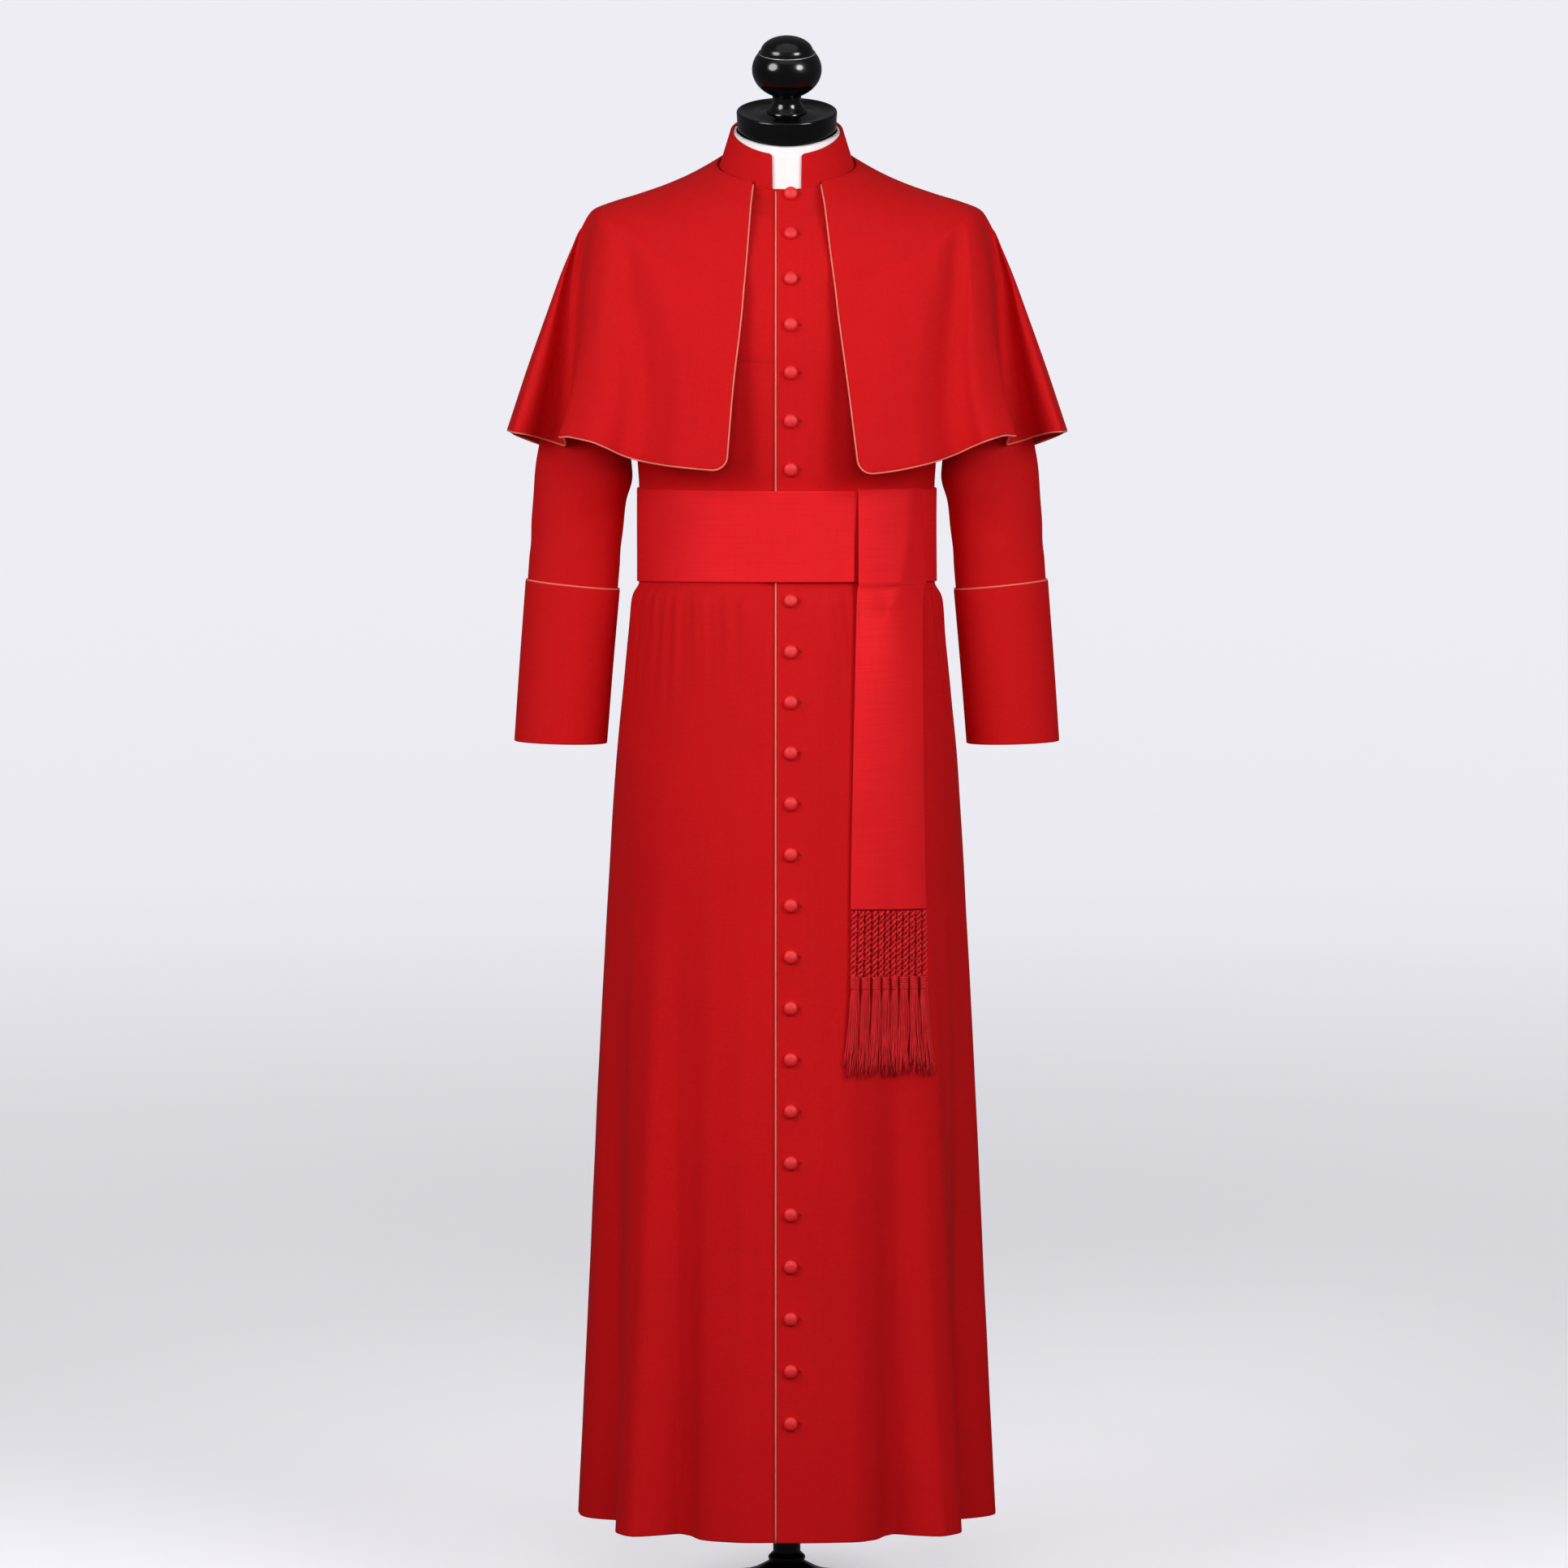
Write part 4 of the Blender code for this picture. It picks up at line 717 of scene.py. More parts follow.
def joined(name, cords):
    """One object from several cords' points, faces and UVs."""
    points, faces, uvs, start = [], [], [], 0
    for cord in cords:
        cord_points, cord_faces, cord_uvs = facing(*cord)
        points.append(cord_points)
        faces += [tuple(corner + start for corner in face) for face in cord_faces]
        uvs += cord_uvs
        start += len(cord_points)
    return sheet_mesh(name, np.concatenate(points), faces, uvs)


def dress(made, material, slot, *nodes):
    """Gives a piece its finish and its place in the model."""
    made.data.materials.clear()
    made.data.materials.append(material)
    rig.ride(made, "root")
    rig.slot(made, slot)
    if nodes:
        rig.replaces(made, *nodes)
    return made


def cut_of(grid):
    """The flat size of a panel of cloth: its widest row, its longest column and its area."""
    lengths = (np.linalg.norm(np.diff(grid, axis=axis), axis=-1).sum(axis=axis) for axis in (1, 0))
    width, length = (round(float(each.max()), 3) for each in lengths)
    one, two = grid[1:, 1:] - grid[:-1, :-1], grid[1:, :-1] - grid[:-1, 1:]
    area = 0.5 * np.linalg.norm(np.cross(one, two), axis=-1).sum()
    return {"flat": (width, length), "area": min(float(area), width * length)}


# ---------------------------------------------------------------- turned pieces, shaped in edit mode

def deselect():
    """Leaves nothing selected, so that the next tool works on its own piece alone."""
    bpy.ops.object.select_all(action="DESELECT")


def rounded(profile, per=5):
    """A profile's points with a smooth curve run through them."""
    points = np.array(profile, float)
    padded = np.concatenate([2 * points[:1] - points[1:2], points, 2 * points[-1:] - points[-2:-1]])
    out = []
    for k in range(len(points) - 1):
        before, start, end, after = padded[k : k + 4]
        near = np.linalg.norm(end - start)
        leave = (end - before) / (np.linalg.norm(start - before) + near) * near
        arrive = (after - start) / (np.linalg.norm(after - end) + near) * near
        out += [hermite(t, start, end, leave, arrive) for t in np.arange(per) / per]
    return [(max(radius, TINY), height) for radius, height in out] + [tuple(points[-1])]


def extrude_rings(profile):
    """Extrudes what is selected, which is the profile's first (radius, height), through all the others."""
    radius, height = profile[0]
    for wide, high in profile[1:]:
        share = wide / radius
        bpy.ops.mesh.extrude_region_move(TRANSFORM_OT_translate={"value": (0, 0, high - height)})
        bpy.ops.transform.resize(value=(share, share, 1), center_override=(0, 0, high))
        radius, height = wide, high


def edit(mode):
    """Starts edit mode on the active object with all of it selected, as vertices, edges or faces."""
    bpy.ops.object.mode_set(mode="EDIT")
    bpy.ops.mesh.select_mode(type=mode)
    bpy.ops.mesh.select_all(action="SELECT")


def settle(made, matrix):
    """Puts a piece's place into its mesh, and then moves the mesh by a matrix."""
    bpy.ops.object.transform_apply(location=True, rotation=True, scale=True)
    made.matrix_world = matrix
    bpy.ops.object.transform_apply(location=True, rotation=True, scale=True)


def turned(name, profile, steps, matrix=Matrix()):
    """A solid of rings. The profile gives (radius, height) from the foot up, and ends on the axis."""
    deselect()
    radius, height = profile[0]
    bpy.ops.mesh.primitive_circle_add(vertices=steps, radius=radius, fill_type="NGON", location=(0, 0, height))
    made = bpy.context.object
    made.name = made.data.name = name
    edit("FACE")
    extrude_rings(profile)
    bpy.ops.mesh.select_all(action="SELECT")
    bpy.ops.mesh.normals_make_consistent(inside=False)
    bpy.ops.object.mode_set(mode="OBJECT")
    settle(made, matrix)
    bpy.ops.object.shade_smooth_by_angle(angle=SMOOTH_ANGLE)
    return made


def neck_matrix(rise):
    """The frame of a turned piece on the leaning neck."""
    centre = neck(0.0, 0.0, 0.0, 0.0, rise)
    middle = (COLLAR_TOP[1] - COLLAR_TOP[2]) / 2
    back = Vector((0, -middle * math.cos(NECK_LEAN), -middle * math.sin(NECK_LEAN)))
    return Matrix.Translation(Vector(centre) + back) @ Matrix.Rotation(NECK_LEAN, 4, "X")


# ---------------------------------------------------------------- finishes

class Finish:
    """A material, with short ways to add and join its nodes."""

    def __init__(self, name, **sockets):
        self.material = bpy.data.materials.new(name)
        self.material.use_nodes = True
        self.tree = self.material.node_tree
        self.shader = self.tree.nodes["Principled BSDF"]
        for socket, value in sockets.items():
            self.shader.inputs[socket.replace("_", " ")].default_value = value

    def add(self, kind, inputs, **settings):
        """A node with its sockets set, or joined where a value is another node's output."""
        node = self.tree.nodes.new(kind)
        for key, value in settings.items():
            setattr(node, key, value)
        for socket, value in inputs.items():
            if isinstance(value, bpy.types.NodeSocket):
                self.tree.links.new(value, node.inputs[socket])
            else:
                node.inputs[socket].default_value = value
        return node

    def weave(self, turn=0.0, stretch=(1, 1, 1)):
        """The cloth's own coordinates, in metres across and along it."""
        uv = self.add("ShaderNodeUVMap", {}, uv_map="weave").outputs["UV"]
        spread = {"Vector": uv, "Rotation": (0, 0, turn), "Scale": stretch}
        return self.add("ShaderNodeMapping", spread).outputs["Vector"]

    def place(self, stretch=(1, 1, 1)):
        """The piece's coordinates in space."""
        where = self.add("ShaderNodeTexCoord", {}).outputs["Object"]
        return self.add("ShaderNodeMapping", {"Vector": where, "Scale": stretch}).outputs["Vector"]

    def noise(self, where, scale=1, detail=2.0):
        """Cloudy values round one half."""
        sockets = {"Vector": where, "Scale": scale, "Detail": detail, "Roughness": 0.5}
        return self.add("ShaderNodeTexNoise", sockets).outputs["Fac"]

    def ribs(self, where, period, direction="X", blur=0.0):
        """Rounded ribs, period metres apart."""
        sockets = {"Vector": where, "Scale": math.tau / 20 / period, "Distortion": blur, "Detail": 1.0}
        made = self.add("ShaderNodeTexWave", sockets, bands_direction=direction, wave_profile="SIN")
        return made.outputs["Fac"]

    def times(self, first, second):
        """One value by another."""
        return self.add("ShaderNodeMath", {0: first, 1: second}, operation="MULTIPLY").outputs[0]

    def plus(self, first, second):
        """One value and another."""
        return self.add("ShaderNodeMath", {0: first, 1: second}, operation="ADD").outputs[0]

    def blend(self, share, first, second):
        """A colour between two, by a value from 0 to 1."""
        sockets = {"Factor": share, 6: first, 7: second}
        return self.add("ShaderNodeMix", sockets, data_type="RGBA").outputs[2]

    def between(self, value, low=0, high=1):
        """A cloudy value stretched to a new range."""
        sockets = {"Value": value, 1: 0.3, 2: 0.7, 3: low, 4: high}
        return self.add("ShaderNodeMapRange", sockets).outputs["Result"]

    def shades(self, value, dye, first, second):
        """A colour that wanders between two shades of the dye, as a cloudy value does."""
        return self.blend(self.between(value), shade(dye, first), shade(dye, second))

    def threads(self, tone, cloud, most, color):
        """A tone with threads of another colour in it, which cover it up to a share."""
        return self.blend(self.between(cloud, 0, most), tone, color)

    def color(self, source):
        """Joins a colour to the surface."""
        self.tree.links.new(source, self.shader.inputs["Base Color"])

    def roughness(self, value, low, high):
        """Makes the surface as rough as a cloudy value says, between two bounds."""
        self.tree.links.new(self.between(value, low, high), self.shader.inputs["Roughness"])

    def bump(self, height, depth, strength=1.0):
        """Raises the surface by a value from 0 to 1."""
        sockets = {"Height": height, "Distance": depth, "Strength": strength}
        self.tree.links.new(self.add("ShaderNodeBump", sockets).outputs["Normal"], self.shader.inputs["Normal"])


def finish(name, **sockets):
    """Turns a recipe into a function that mixes the material once, and gives the same one from then on."""

    def keep(recipe):
        def mixed():
            made = bpy.data.materials.get(name)
            if made is None:
                work = Finish(name, **sockets)
                recipe(work)
                made = work.material
            return made

        return mixed

    return keep


def shade(color, share=1.0):
    """A dye made darker or lighter."""
    return (*[min(1.0, part * share) for part in color[:3]], 1)


@finish(
    "Scarlet wool",
    Sheen_Weight=0.05, Sheen_Roughness=0.35, Sheen_Tint=(1, 0.2, 0.15, 1), Specular_IOR_Level=0.10,
)  # fmt: skip
def wool_finish(wool):
    """Fine worsted with a twill line, its colour a little uneven along the warp."""
    dye = bpy.context.scene.cassock_cloth.wool_color
    uv = wool.weave()
    twill = wool.ribs(wool.weave(math.radians(63)), period=0.0011, blur=0.4)
    weft = wool.ribs(uv, period=0.0013, direction="Y", blur=0.6)
    fuzz = wool.noise(uv, scale=1500, detail=3)
    cloudy = wool.noise(uv, scale=7, detail=3)
    warp = wool.noise(wool.weave(stretch=(260, 5, 1)), detail=3)
    slubs = wool.noise(wool.weave(stretch=(14, 420, 1)))
    flecks = wool.noise(wool.weave(stretch=(420, 260, 1)))
    tone = wool.shades(cloudy, dye, 0.94, 1.05)
    tone = wool.threads(tone, warp, 0.30, shade(dye, 0.84))
    tone = wool.threads(tone, slubs, 0.22, shade(dye, 1.16))
    tone = wool.blend(wool.times(twill, 0.16), tone, shade(dye, 0.72))
    wool.color(wool.threads(tone, flecks, 0.34, shade(dye, 0.78)))
    wool.roughness(fuzz, 0.72, 0.88)
    height = wool.plus(wool.times(twill, 0.6), wool.times(weft, 0.3))
    wool.bump(wool.plus(height, wool.times(fuzz, 0.5)), depth=0.00016, strength=0.8)


@finish("Ribbed silk", Metallic=0.25, Specular_IOR_Level=0.12, Anisotropic=0.35)
def silk_finish(silk):
    """Close ribs across the sash, with a few thicker threads."""
    dye = bpy.context.scene.cassock_cloth.silk_color
    uv = silk.weave()
    ribs = silk.ribs(uv, period=0.0014, direction="Y", blur=0.5)
    warp = silk.ribs(uv, period=0.0012, blur=0.8)
    thick = silk.noise(silk.weave(stretch=(16, 520, 1)))
    across = silk.noise(silk.weave(stretch=(620, 30, 1)))
    tone = silk.shades(silk.noise(uv, scale=16), dye, 0.95, 1.04)
    tone = silk.threads(tone, thick, 0.40, shade(dye, 0.86))
    tone = silk.threads(tone, across, 0.30, shade(dye, 1.12))
    silk.color(silk.blend(silk.times(ribs, 0.06), tone, shade(dye, 0.7)))
    silk.roughness(thick, 0.56, 0.66)
    height = silk.plus(ribs, silk.times(warp, 0.35))
    silk.bump(silk.plus(height, silk.times(thick, 0.6)), depth=0.00006, strength=0.7)


@finish(
    "Silk yarn",
    Sheen_Weight=0.05, Sheen_Roughness=0.3, Sheen_Tint=(1, 0.2, 0.2, 1), Specular_IOR_Level=0.22,
)  # fmt: skip
def yarn_finish(yarn):
    """Twisted silk yarn of the net and the fringe, deeper in tone than the woven sash."""
    dye = bpy.context.scene.cassock_sash.yarn_color
    plies = yarn.ribs(yarn.weave(math.radians(38)), period=0.0009, blur=0.3)
    uneven = yarn.noise(yarn.place((1, 1, 0.4)), scale=260)
    tone = yarn.shades(uneven, dye, 0.82, 1.20)
    yarn.color(yarn.blend(yarn.times(plies, 0.30), tone, shade(dye, 0.50)))
    yarn.roughness(uneven, 0.42, 0.6)
    yarn.bump(plies, depth=0.0003, strength=0.9)


@finish("Coral piping", Roughness=0.5, Sheen_Weight=0.2, Sheen_Roughness=0.3, Specular_IOR_Level=0.35)
def piping_finish(cord):
    """Satin cord, lighter than the cloth that it edges."""
    dye = bpy.context.scene.cassock_trim.piping_color
    plies = cord.ribs(cord.weave(math.radians(50)), period=0.0012, blur=0.3)
    uneven = cord.noise(cord.weave(stretch=(1, 0.3, 1)), scale=160)
    tone = cord.shades(uneven, dye, 0.86, 1.1)
    groove = shade((dye[0], dye[1] * 0.6, dye[2] * 0.6), 0.8)
    cord.color(cord.blend(cord.times(plies, 0.35), tone, groove))
    cord.roughness(uneven, 0.42, 0.58)
    cord.bump(plies, depth=0.0002, strength=0.8)


@finish(
    "Covered button",
    Sheen_Weight=0.03, Sheen_Roughness=0.3, Sheen_Tint=(1, 0.25, 0.2, 1), Specular_IOR_Level=0.40,
)  # fmt: skip
def button_finish(cover):
    """The cloth drawn tight over a button, with its weave opened."""
    dye = bpy.context.scene.cassock_trim.button_color
    where = cover.place()
    warp, weft = (cover.ribs(where, period=0.0009, direction=axis, blur=0.4) for axis in "XZ")
    fuzz = cover.noise(where, scale=900, detail=3)
    tone = cover.shades(fuzz, dye, 0.88, 1.08)
    cover.color(cover.blend(cover.times(cover.times(warp, weft), 0.25), tone, shade(dye, 0.6)))
    cover.roughness(fuzz, 0.42, 0.56)
    cover.bump(cover.plus(warp, weft), depth=0.0001, strength=0.6)


@finish("Buttonhole twist", Roughness=0.6, Specular_IOR_Level=0.15)
def thread_finish(thread):
    """Buttonhole twist, close stitches side by side."""
    dye = bpy.context.scene.cassock_cloth.wool_color
    stitches = thread.ribs(thread.place(), period=0.0010, blur=0.2)
    thread.color(thread.blend(stitches, shade(dye, 0.55), shade(dye, 0.90)))
    thread.roughness(stitches, 0.5, 0.65)
    thread.bump(stitches, depth=0.0002)


@finish("Starched white linen", Sheen_Weight=0.1, Specular_IOR_Level=0.4)
def starched_finish(linen):
    """White starched linen."""
    uv = linen.weave()
    warp, weft = (linen.ribs(uv, period=0.0008, direction=axis, blur=0.5) for axis in "XY")
    uneven = linen.noise(linen.weave(stretch=(60, 700, 1)))
    linen.color(linen.blend(linen.between(uneven), (0.96, 0.955, 0.95, 1), (0.91, 0.905, 0.91, 1)))
    linen.roughness(uneven, 0.45, 0.6)
    linen.bump(linen.plus(warp, weft), depth=0.00012, strength=0.6)


@finish("Black lacquer", Coat_Weight=0.6, Coat_Roughness=0.13, Coat_IOR=1.42, Specular_IOR_Level=0.20)
def lacquer_finish(black):
    """Turned wood under black lacquer, polished, with a faint unevenness left by the brush."""
    dye = bpy.context.scene.cassock_stand.lacquer_color
    smear = black.noise(black.place((1, 1, 3)), scale=22, detail=4)
    specks = black.noise(black.place(), scale=900, detail=1)
    black.color(black.shades(smear, dye, 0.7, 1.5))
    black.roughness(smear, 0.16, 0.28)
    black.bump(black.plus(smear, black.times(specks, 0.06)), depth=0.00012, strength=0.35)


@finish("Painted seam highlight", Metallic=0.8)
def seam_highlight_finish(edge):
    """A dull grey metal finish, lighter than the lacquer: its greys are painted highlight, a bright line along the
    seam where the cap meets the ball.
    """
    highlight_patches = edge.noise(edge.place(), scale=180, detail=3)
    # The two greys are painted highlight, in soft patches along the seam.
    edge.color(edge.blend(edge.between(highlight_patches), (0.30, 0.30, 0.31, 1), (0.62, 0.62, 0.64, 1)))
    edge.roughness(highlight_patches, 0.38, 0.58)
    edge.bump(highlight_patches, depth=0.0001, strength=0.4)


@finish("Form canvas", Sheen_Weight=0.15)
def canvas_finish(canvas):
    """Unbleached linen, pulled over the padded form."""
    uv = canvas.weave()
    warp, weft = (canvas.ribs(uv, period=0.0014, direction=axis, blur=0.6) for axis in "XY")
    slubs = canvas.noise(canvas.weave(stretch=(500, 25, 1)))
    tone = canvas.blend(canvas.between(slubs), (0.72, 0.66, 0.55, 1), (0.60, 0.53, 0.42, 1))
    canvas.color(canvas.blend(canvas.times(canvas.times(warp, weft), 0.4), tone, (0.4, 0.34, 0.26, 1)))
    canvas.roughness(slubs, 0.75, 0.9)
    canvas.bump(canvas.plus(warp, weft), depth=0.0003, strength=0.8)


@finish("Studio sweep", Roughness=0.9, Specular_IOR_Level=0.1)
def floor_finish(floor):
    """A pale studio sweep that glows a little more the further it lies from the object."""
    dye = bpy.context.scene.cassock_stage.sweep_color
    floor.color(floor.shades(floor.noise(floor.place(), scale=0.25), dye, 0.99, 1.0))
    floor.shader.inputs["Emission Color"].default_value = shade(dye)
    away = floor.add("ShaderNodeVectorMath", {0: floor.place((1, 1, 0))}, operation="LENGTH").outputs["Value"]
    near_glow, far_glow, glow_start, glow_end = 0.485, 0.83, 0.5, 8.0
    sockets = {"Value": away, 1: glow_start, 2: glow_end, 3: near_glow, 4: far_glow}
    glow = floor.add("ShaderNodeMapRange", sockets, interpolation_type="SMOOTHSTEP")
    floor.tree.links.new(glow.outputs["Result"], floor.shader.inputs["Emission Strength"])


# ---------------------------------------------------------------- the cassock, its sleeves, collar and buttons

def body_rows():
    """Heights of the rows of the body's cloth, close together where it bends most."""
    below = spans(HEM, (FOLDS_START, 112), (SASH_LOW, 37), (SASH_TOP, 12), (1.25, 9), (ARMPIT, 14))
    beside_arm = ARM_MIDDLE - ARM_HALF_HEIGHT * np.cos(np.linspace(0, math.pi, 25))
    return np.concatenate([below, beside_arm[1:], spans(SHOULDER, (NECK, 13))[1:]])[:, None]


def seam_shift(height):
    """The angle that a panel stops short of its seam."""
    return SEAM / 2 / read(BODY, "half_width", height)


class CASSOCK_OT_skirt_and_bodice(bpy.types.Operator):
    """Cut the four long panels, hang them on the form and sew the piping along the front edge"""

    bl_idname = "cassock.skirt_and_bodice"
    bl_label = "Skirt and Bodice"

    def execute(self, context):
        rows = body_rows()
        side = armhole_angle(rows, behind=False) - seam_shift(rows)
        rear = armhole_angle(rows, behind=True) + seam_shift(rows)
        left = columns(angle_at(FRONT_EDGE, rows), side, FRONT_COLUMNS)
        right = columns(-side, angle_at(UNDERLAP_EDGE, rows), UNDERLAP_COLUMNS)
        back = columns(rear, np.pi - seam_shift(rows), BACK_COLUMNS)
        sunk = (WALL + GAP) * ease(body(right, rows)[..., 0], LAP_START, LAP_END)
        for node, angles, near in (
            ("front_left", left, 0.0),
            ("front_right", right, -sunk),
            ("back_left", back, 0.0),
            ("back_right", -back[:, ::-1], 0.0),
        ):
            outer, inner = skin(angles, rows, near + WALL), skin(angles, rows, near)
            panel = dress(cloth(f"cloth_{node}", outer, inner), wool_finish(), "wool", node)
            with_pieces = [self.piping(context, rows[:-1, 0])] if node == "front_left" else []
            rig.sheet(panel, held="hung", rests_on=["padded_body"], with_pieces=with_pieces, **cut_of(outer))
        return {"FINISHED"}

    def piping(self, context, levels):
        """The cord that is sewn in along the left front's edge."""
        radius = context.scene.cassock_trim.piping_radius
        path = skin(angle_at(FRONT_EDGE, levels), levels, WALL * 0.75) - [radius + 0.0001, 0, 0]
        cord = joined("piping_front_edge", [cord_parts(path, radius, PIPING_SIDES)])
        return dress(cord, piping_finish(), "piping", "piping_front")


def armhole_ring(turn):
    """The armhole's edge, a hair inside the cloth round it, from the shoulder round by the front."""
    height = ARM_MIDDLE + (ARM_HALF_HEIGHT - 2 * GAP) * np.cos(turn)
    depth = (ARM_HALF_DEPTH - 2 * GAP) * np.sin(turn)
    room = np.where(depth > 0, read(BODY, "front", height), read(BODY, "back", height))
    return skin(np.pi / 2 - np.arcsin(depth / room), height, WALL)


def sleeve_ring(at, turn):
    """A ring of the left sleeve, at a place between the rows of its table."""
    outer_x, outer_z, inner_x, inner_z, depth, centre_y = (
        read(SLEEVE, column, at) for column in SLEEVE[0]._fields[1:]
    )
    middle = np.array([(outer_x + inner_x) / 2, centre_y, (outer_z + inner_z) / 2])
    reach = np.array([(outer_x - inner_x) / 2, 0, (outer_z - inner_z) / 2])
    out = np.cos(turn)[:, None] * reach + np.sin(turn)[:, None] * np.array([0, -float(depth), 0])
    elbow = ease(at, 4.2, 5.0) * ease(at, 7.6, 6.8)
    bend = waves(at, 0, (0.6, 2.4, 0, 2 * np.sin(turn) + 0.4), (0.4, 5.3, 0, 1.0 - 3 * np.cos(turn)))
    away = out / np.linalg.norm(out, axis=1, keepdims=True)
    return middle + out + away * (BEND_DEPTH * elbow * bend)[:, None]


def tube_outward(rings):
    """Directions out of a tube, from its neighbouring rings and points."""
    around = np.roll(rings, -1, axis=1) - np.roll(rings, 1, axis=1)
    across = np.cross(np.gradient(rings, axis=0), around)
    across /= np.linalg.norm(across, axis=-1, keepdims=True)
    middle = rings.mean(axis=1, keepdims=True)
    return across * np.sign((across * (rings - middle)).sum(axis=-1, keepdims=True))


class CASSOCK_OT_sleeves(bpy.types.Operator):
    """Set in both sleeves, turn back their cuffs and edge the cuffs with piping"""

    bl_idname = "cassock.sleeves"
    bl_label = "Sleeves and Cuffs"

    def execute(self, context):
        turn = full_turn(SLEEVE_COLUMNS)
        shoulder, first = armhole_ring(turn), sleeve_ring(0.0, turn)
        sewn = [shoulder + (first - shoulder) * share for share in SEWN_SHARES]
        places = spans(0, (CUFF_PLACE, SLEEVE_ROWS), (SLEEVE_END, CUFF_ROWS))
        rings = np.array(sewn + [sleeve_ring(at, turn) for at in places])
        out = tube_outward(rings)
        start = len(sewn) + SLEEVE_ROWS - 1
        cuff, cuff_out = rings[start:], out[start:]
        radius = context.scene.cassock_trim.piping_radius
        top = cuff[0] + cuff_out[0] * (GAP + WALL / 2) + np.array([0, 0, radius * 0.8])
        for side, mirror in (("left", 1), ("right", -1)):
            flip = np.array([mirror, 1, 1])
            sleeve = cloth(f"cloth_sleeve_{side}", rings * flip, (rings - out * WALL) * flip, closed=True)
            dress(sleeve, wool_finish(), "wool", f"sleeve_{side}")
            rests = [f"cloth_front_{side}", f"cloth_back_{side}"]
            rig.sheet(sleeve, held="hung", rests_on=rests, **cut_of(ringed(rings)))
            outer, inner = (cuff + cuff_out * off for off in (GAP + WALL, GAP))
            turned_back = cloth(f"cloth_cuff_{side}", outer * flip, inner * flip, closed=True)
            dress(turned_back, wool_finish(), "wool", f"cuff_{side}")
            edge = cord_parts(top * flip, radius, PIPING_SIDES, closed=True)
            cord = joined(f"piping_cuff_{side}_edge", [edge])
            dress(cord, piping_finish(), "piping", f"piping_cuff_{side}")
            rests = [f"cloth_sleeve_{side}"]
            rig.sheet(turned_back, held="folded", rests_on=rests, with_pieces=[cord], **cut_of(ringed(outer)))
        return {"FINISHED"}


def collar_grid(height, dip, foot, sink, nape, distance, whole):
    """Rows of the collar or of its insert. The collar stops at the notch, with its upper corners rounded."""
    shares = np.sin(np.linspace(0, math.pi / 2, COLLAR_ROWS))[:, None]
    if whole:
        angles = np.linspace(0, math.tau, INSERT_COLUMNS + 1)[None, :-1] + 0 * shares
    else:
        into = np.clip((shares - 1) * height / COLLAR_CORNER + 1, 0, 1)
        start = np.arcsin(COLLAR_NOTCH / collar_size(0, height * shares))
        start = start + COLLAR_CORNER * (1 - np.sqrt(1 - into**2)) / collar_size(0, height)
        angles = columns(start, math.tau - start, COLLAR_COLUMNS)
    low = foot - (NECK_SCOOP + sink) * front_share(angles)
    high = height - dip * front_share(angles) - nape * back_share(angles)
    return on_collar(angles, low + (high - low) * shares, distance)


class CASSOCK_OT_collar(bpy.types.Operator):
    """Stand the collar round the neck, with the white band inside it"""

    bl_idname = "cassock.collar"
    bl_label = "Collar"

    def execute(self, context):
        shape = COLLAR_HEIGHT, COLLAR_DIP, COLLAR_SEAT, COLLAR_SINK, 0.0
        outer, inner = (collar_grid(*shape, off, False) for off in (COLLAR_WALL, 0.0))
        stand = dress(cloth("cloth_collar", outer, inner), wool_finish(), "wool", "collar")
        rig.sheet(stand, held="stretched", rests_on=BODY_CLOTH, **cut_of(outer))
        shape = INSERT_HEIGHT, INSERT_DIP, INSERT_SEAT, INSERT_SINK, NAPE_DIP
        outer, inner = (collar_grid(*shape, off, True) for off in (-INSERT_GAP, -INSERT_GAP - WALL))
        band = cloth("white_collar_band", outer, inner, closed=True)
        dress(band, starched_finish(), "insert", "collar_insert")
        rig.sheet(band, held="stretched", rests_on=["cloth_collar"], **cut_of(ringed(outer)))
        return {"FINISHED"}


def button_heights():
    """Heights of the buttons that can be seen, from the neck down."""
    for row in BUTTONS:
        for step in range(row.count):
            yield row.first - step * row.space - step**2 * row.grow


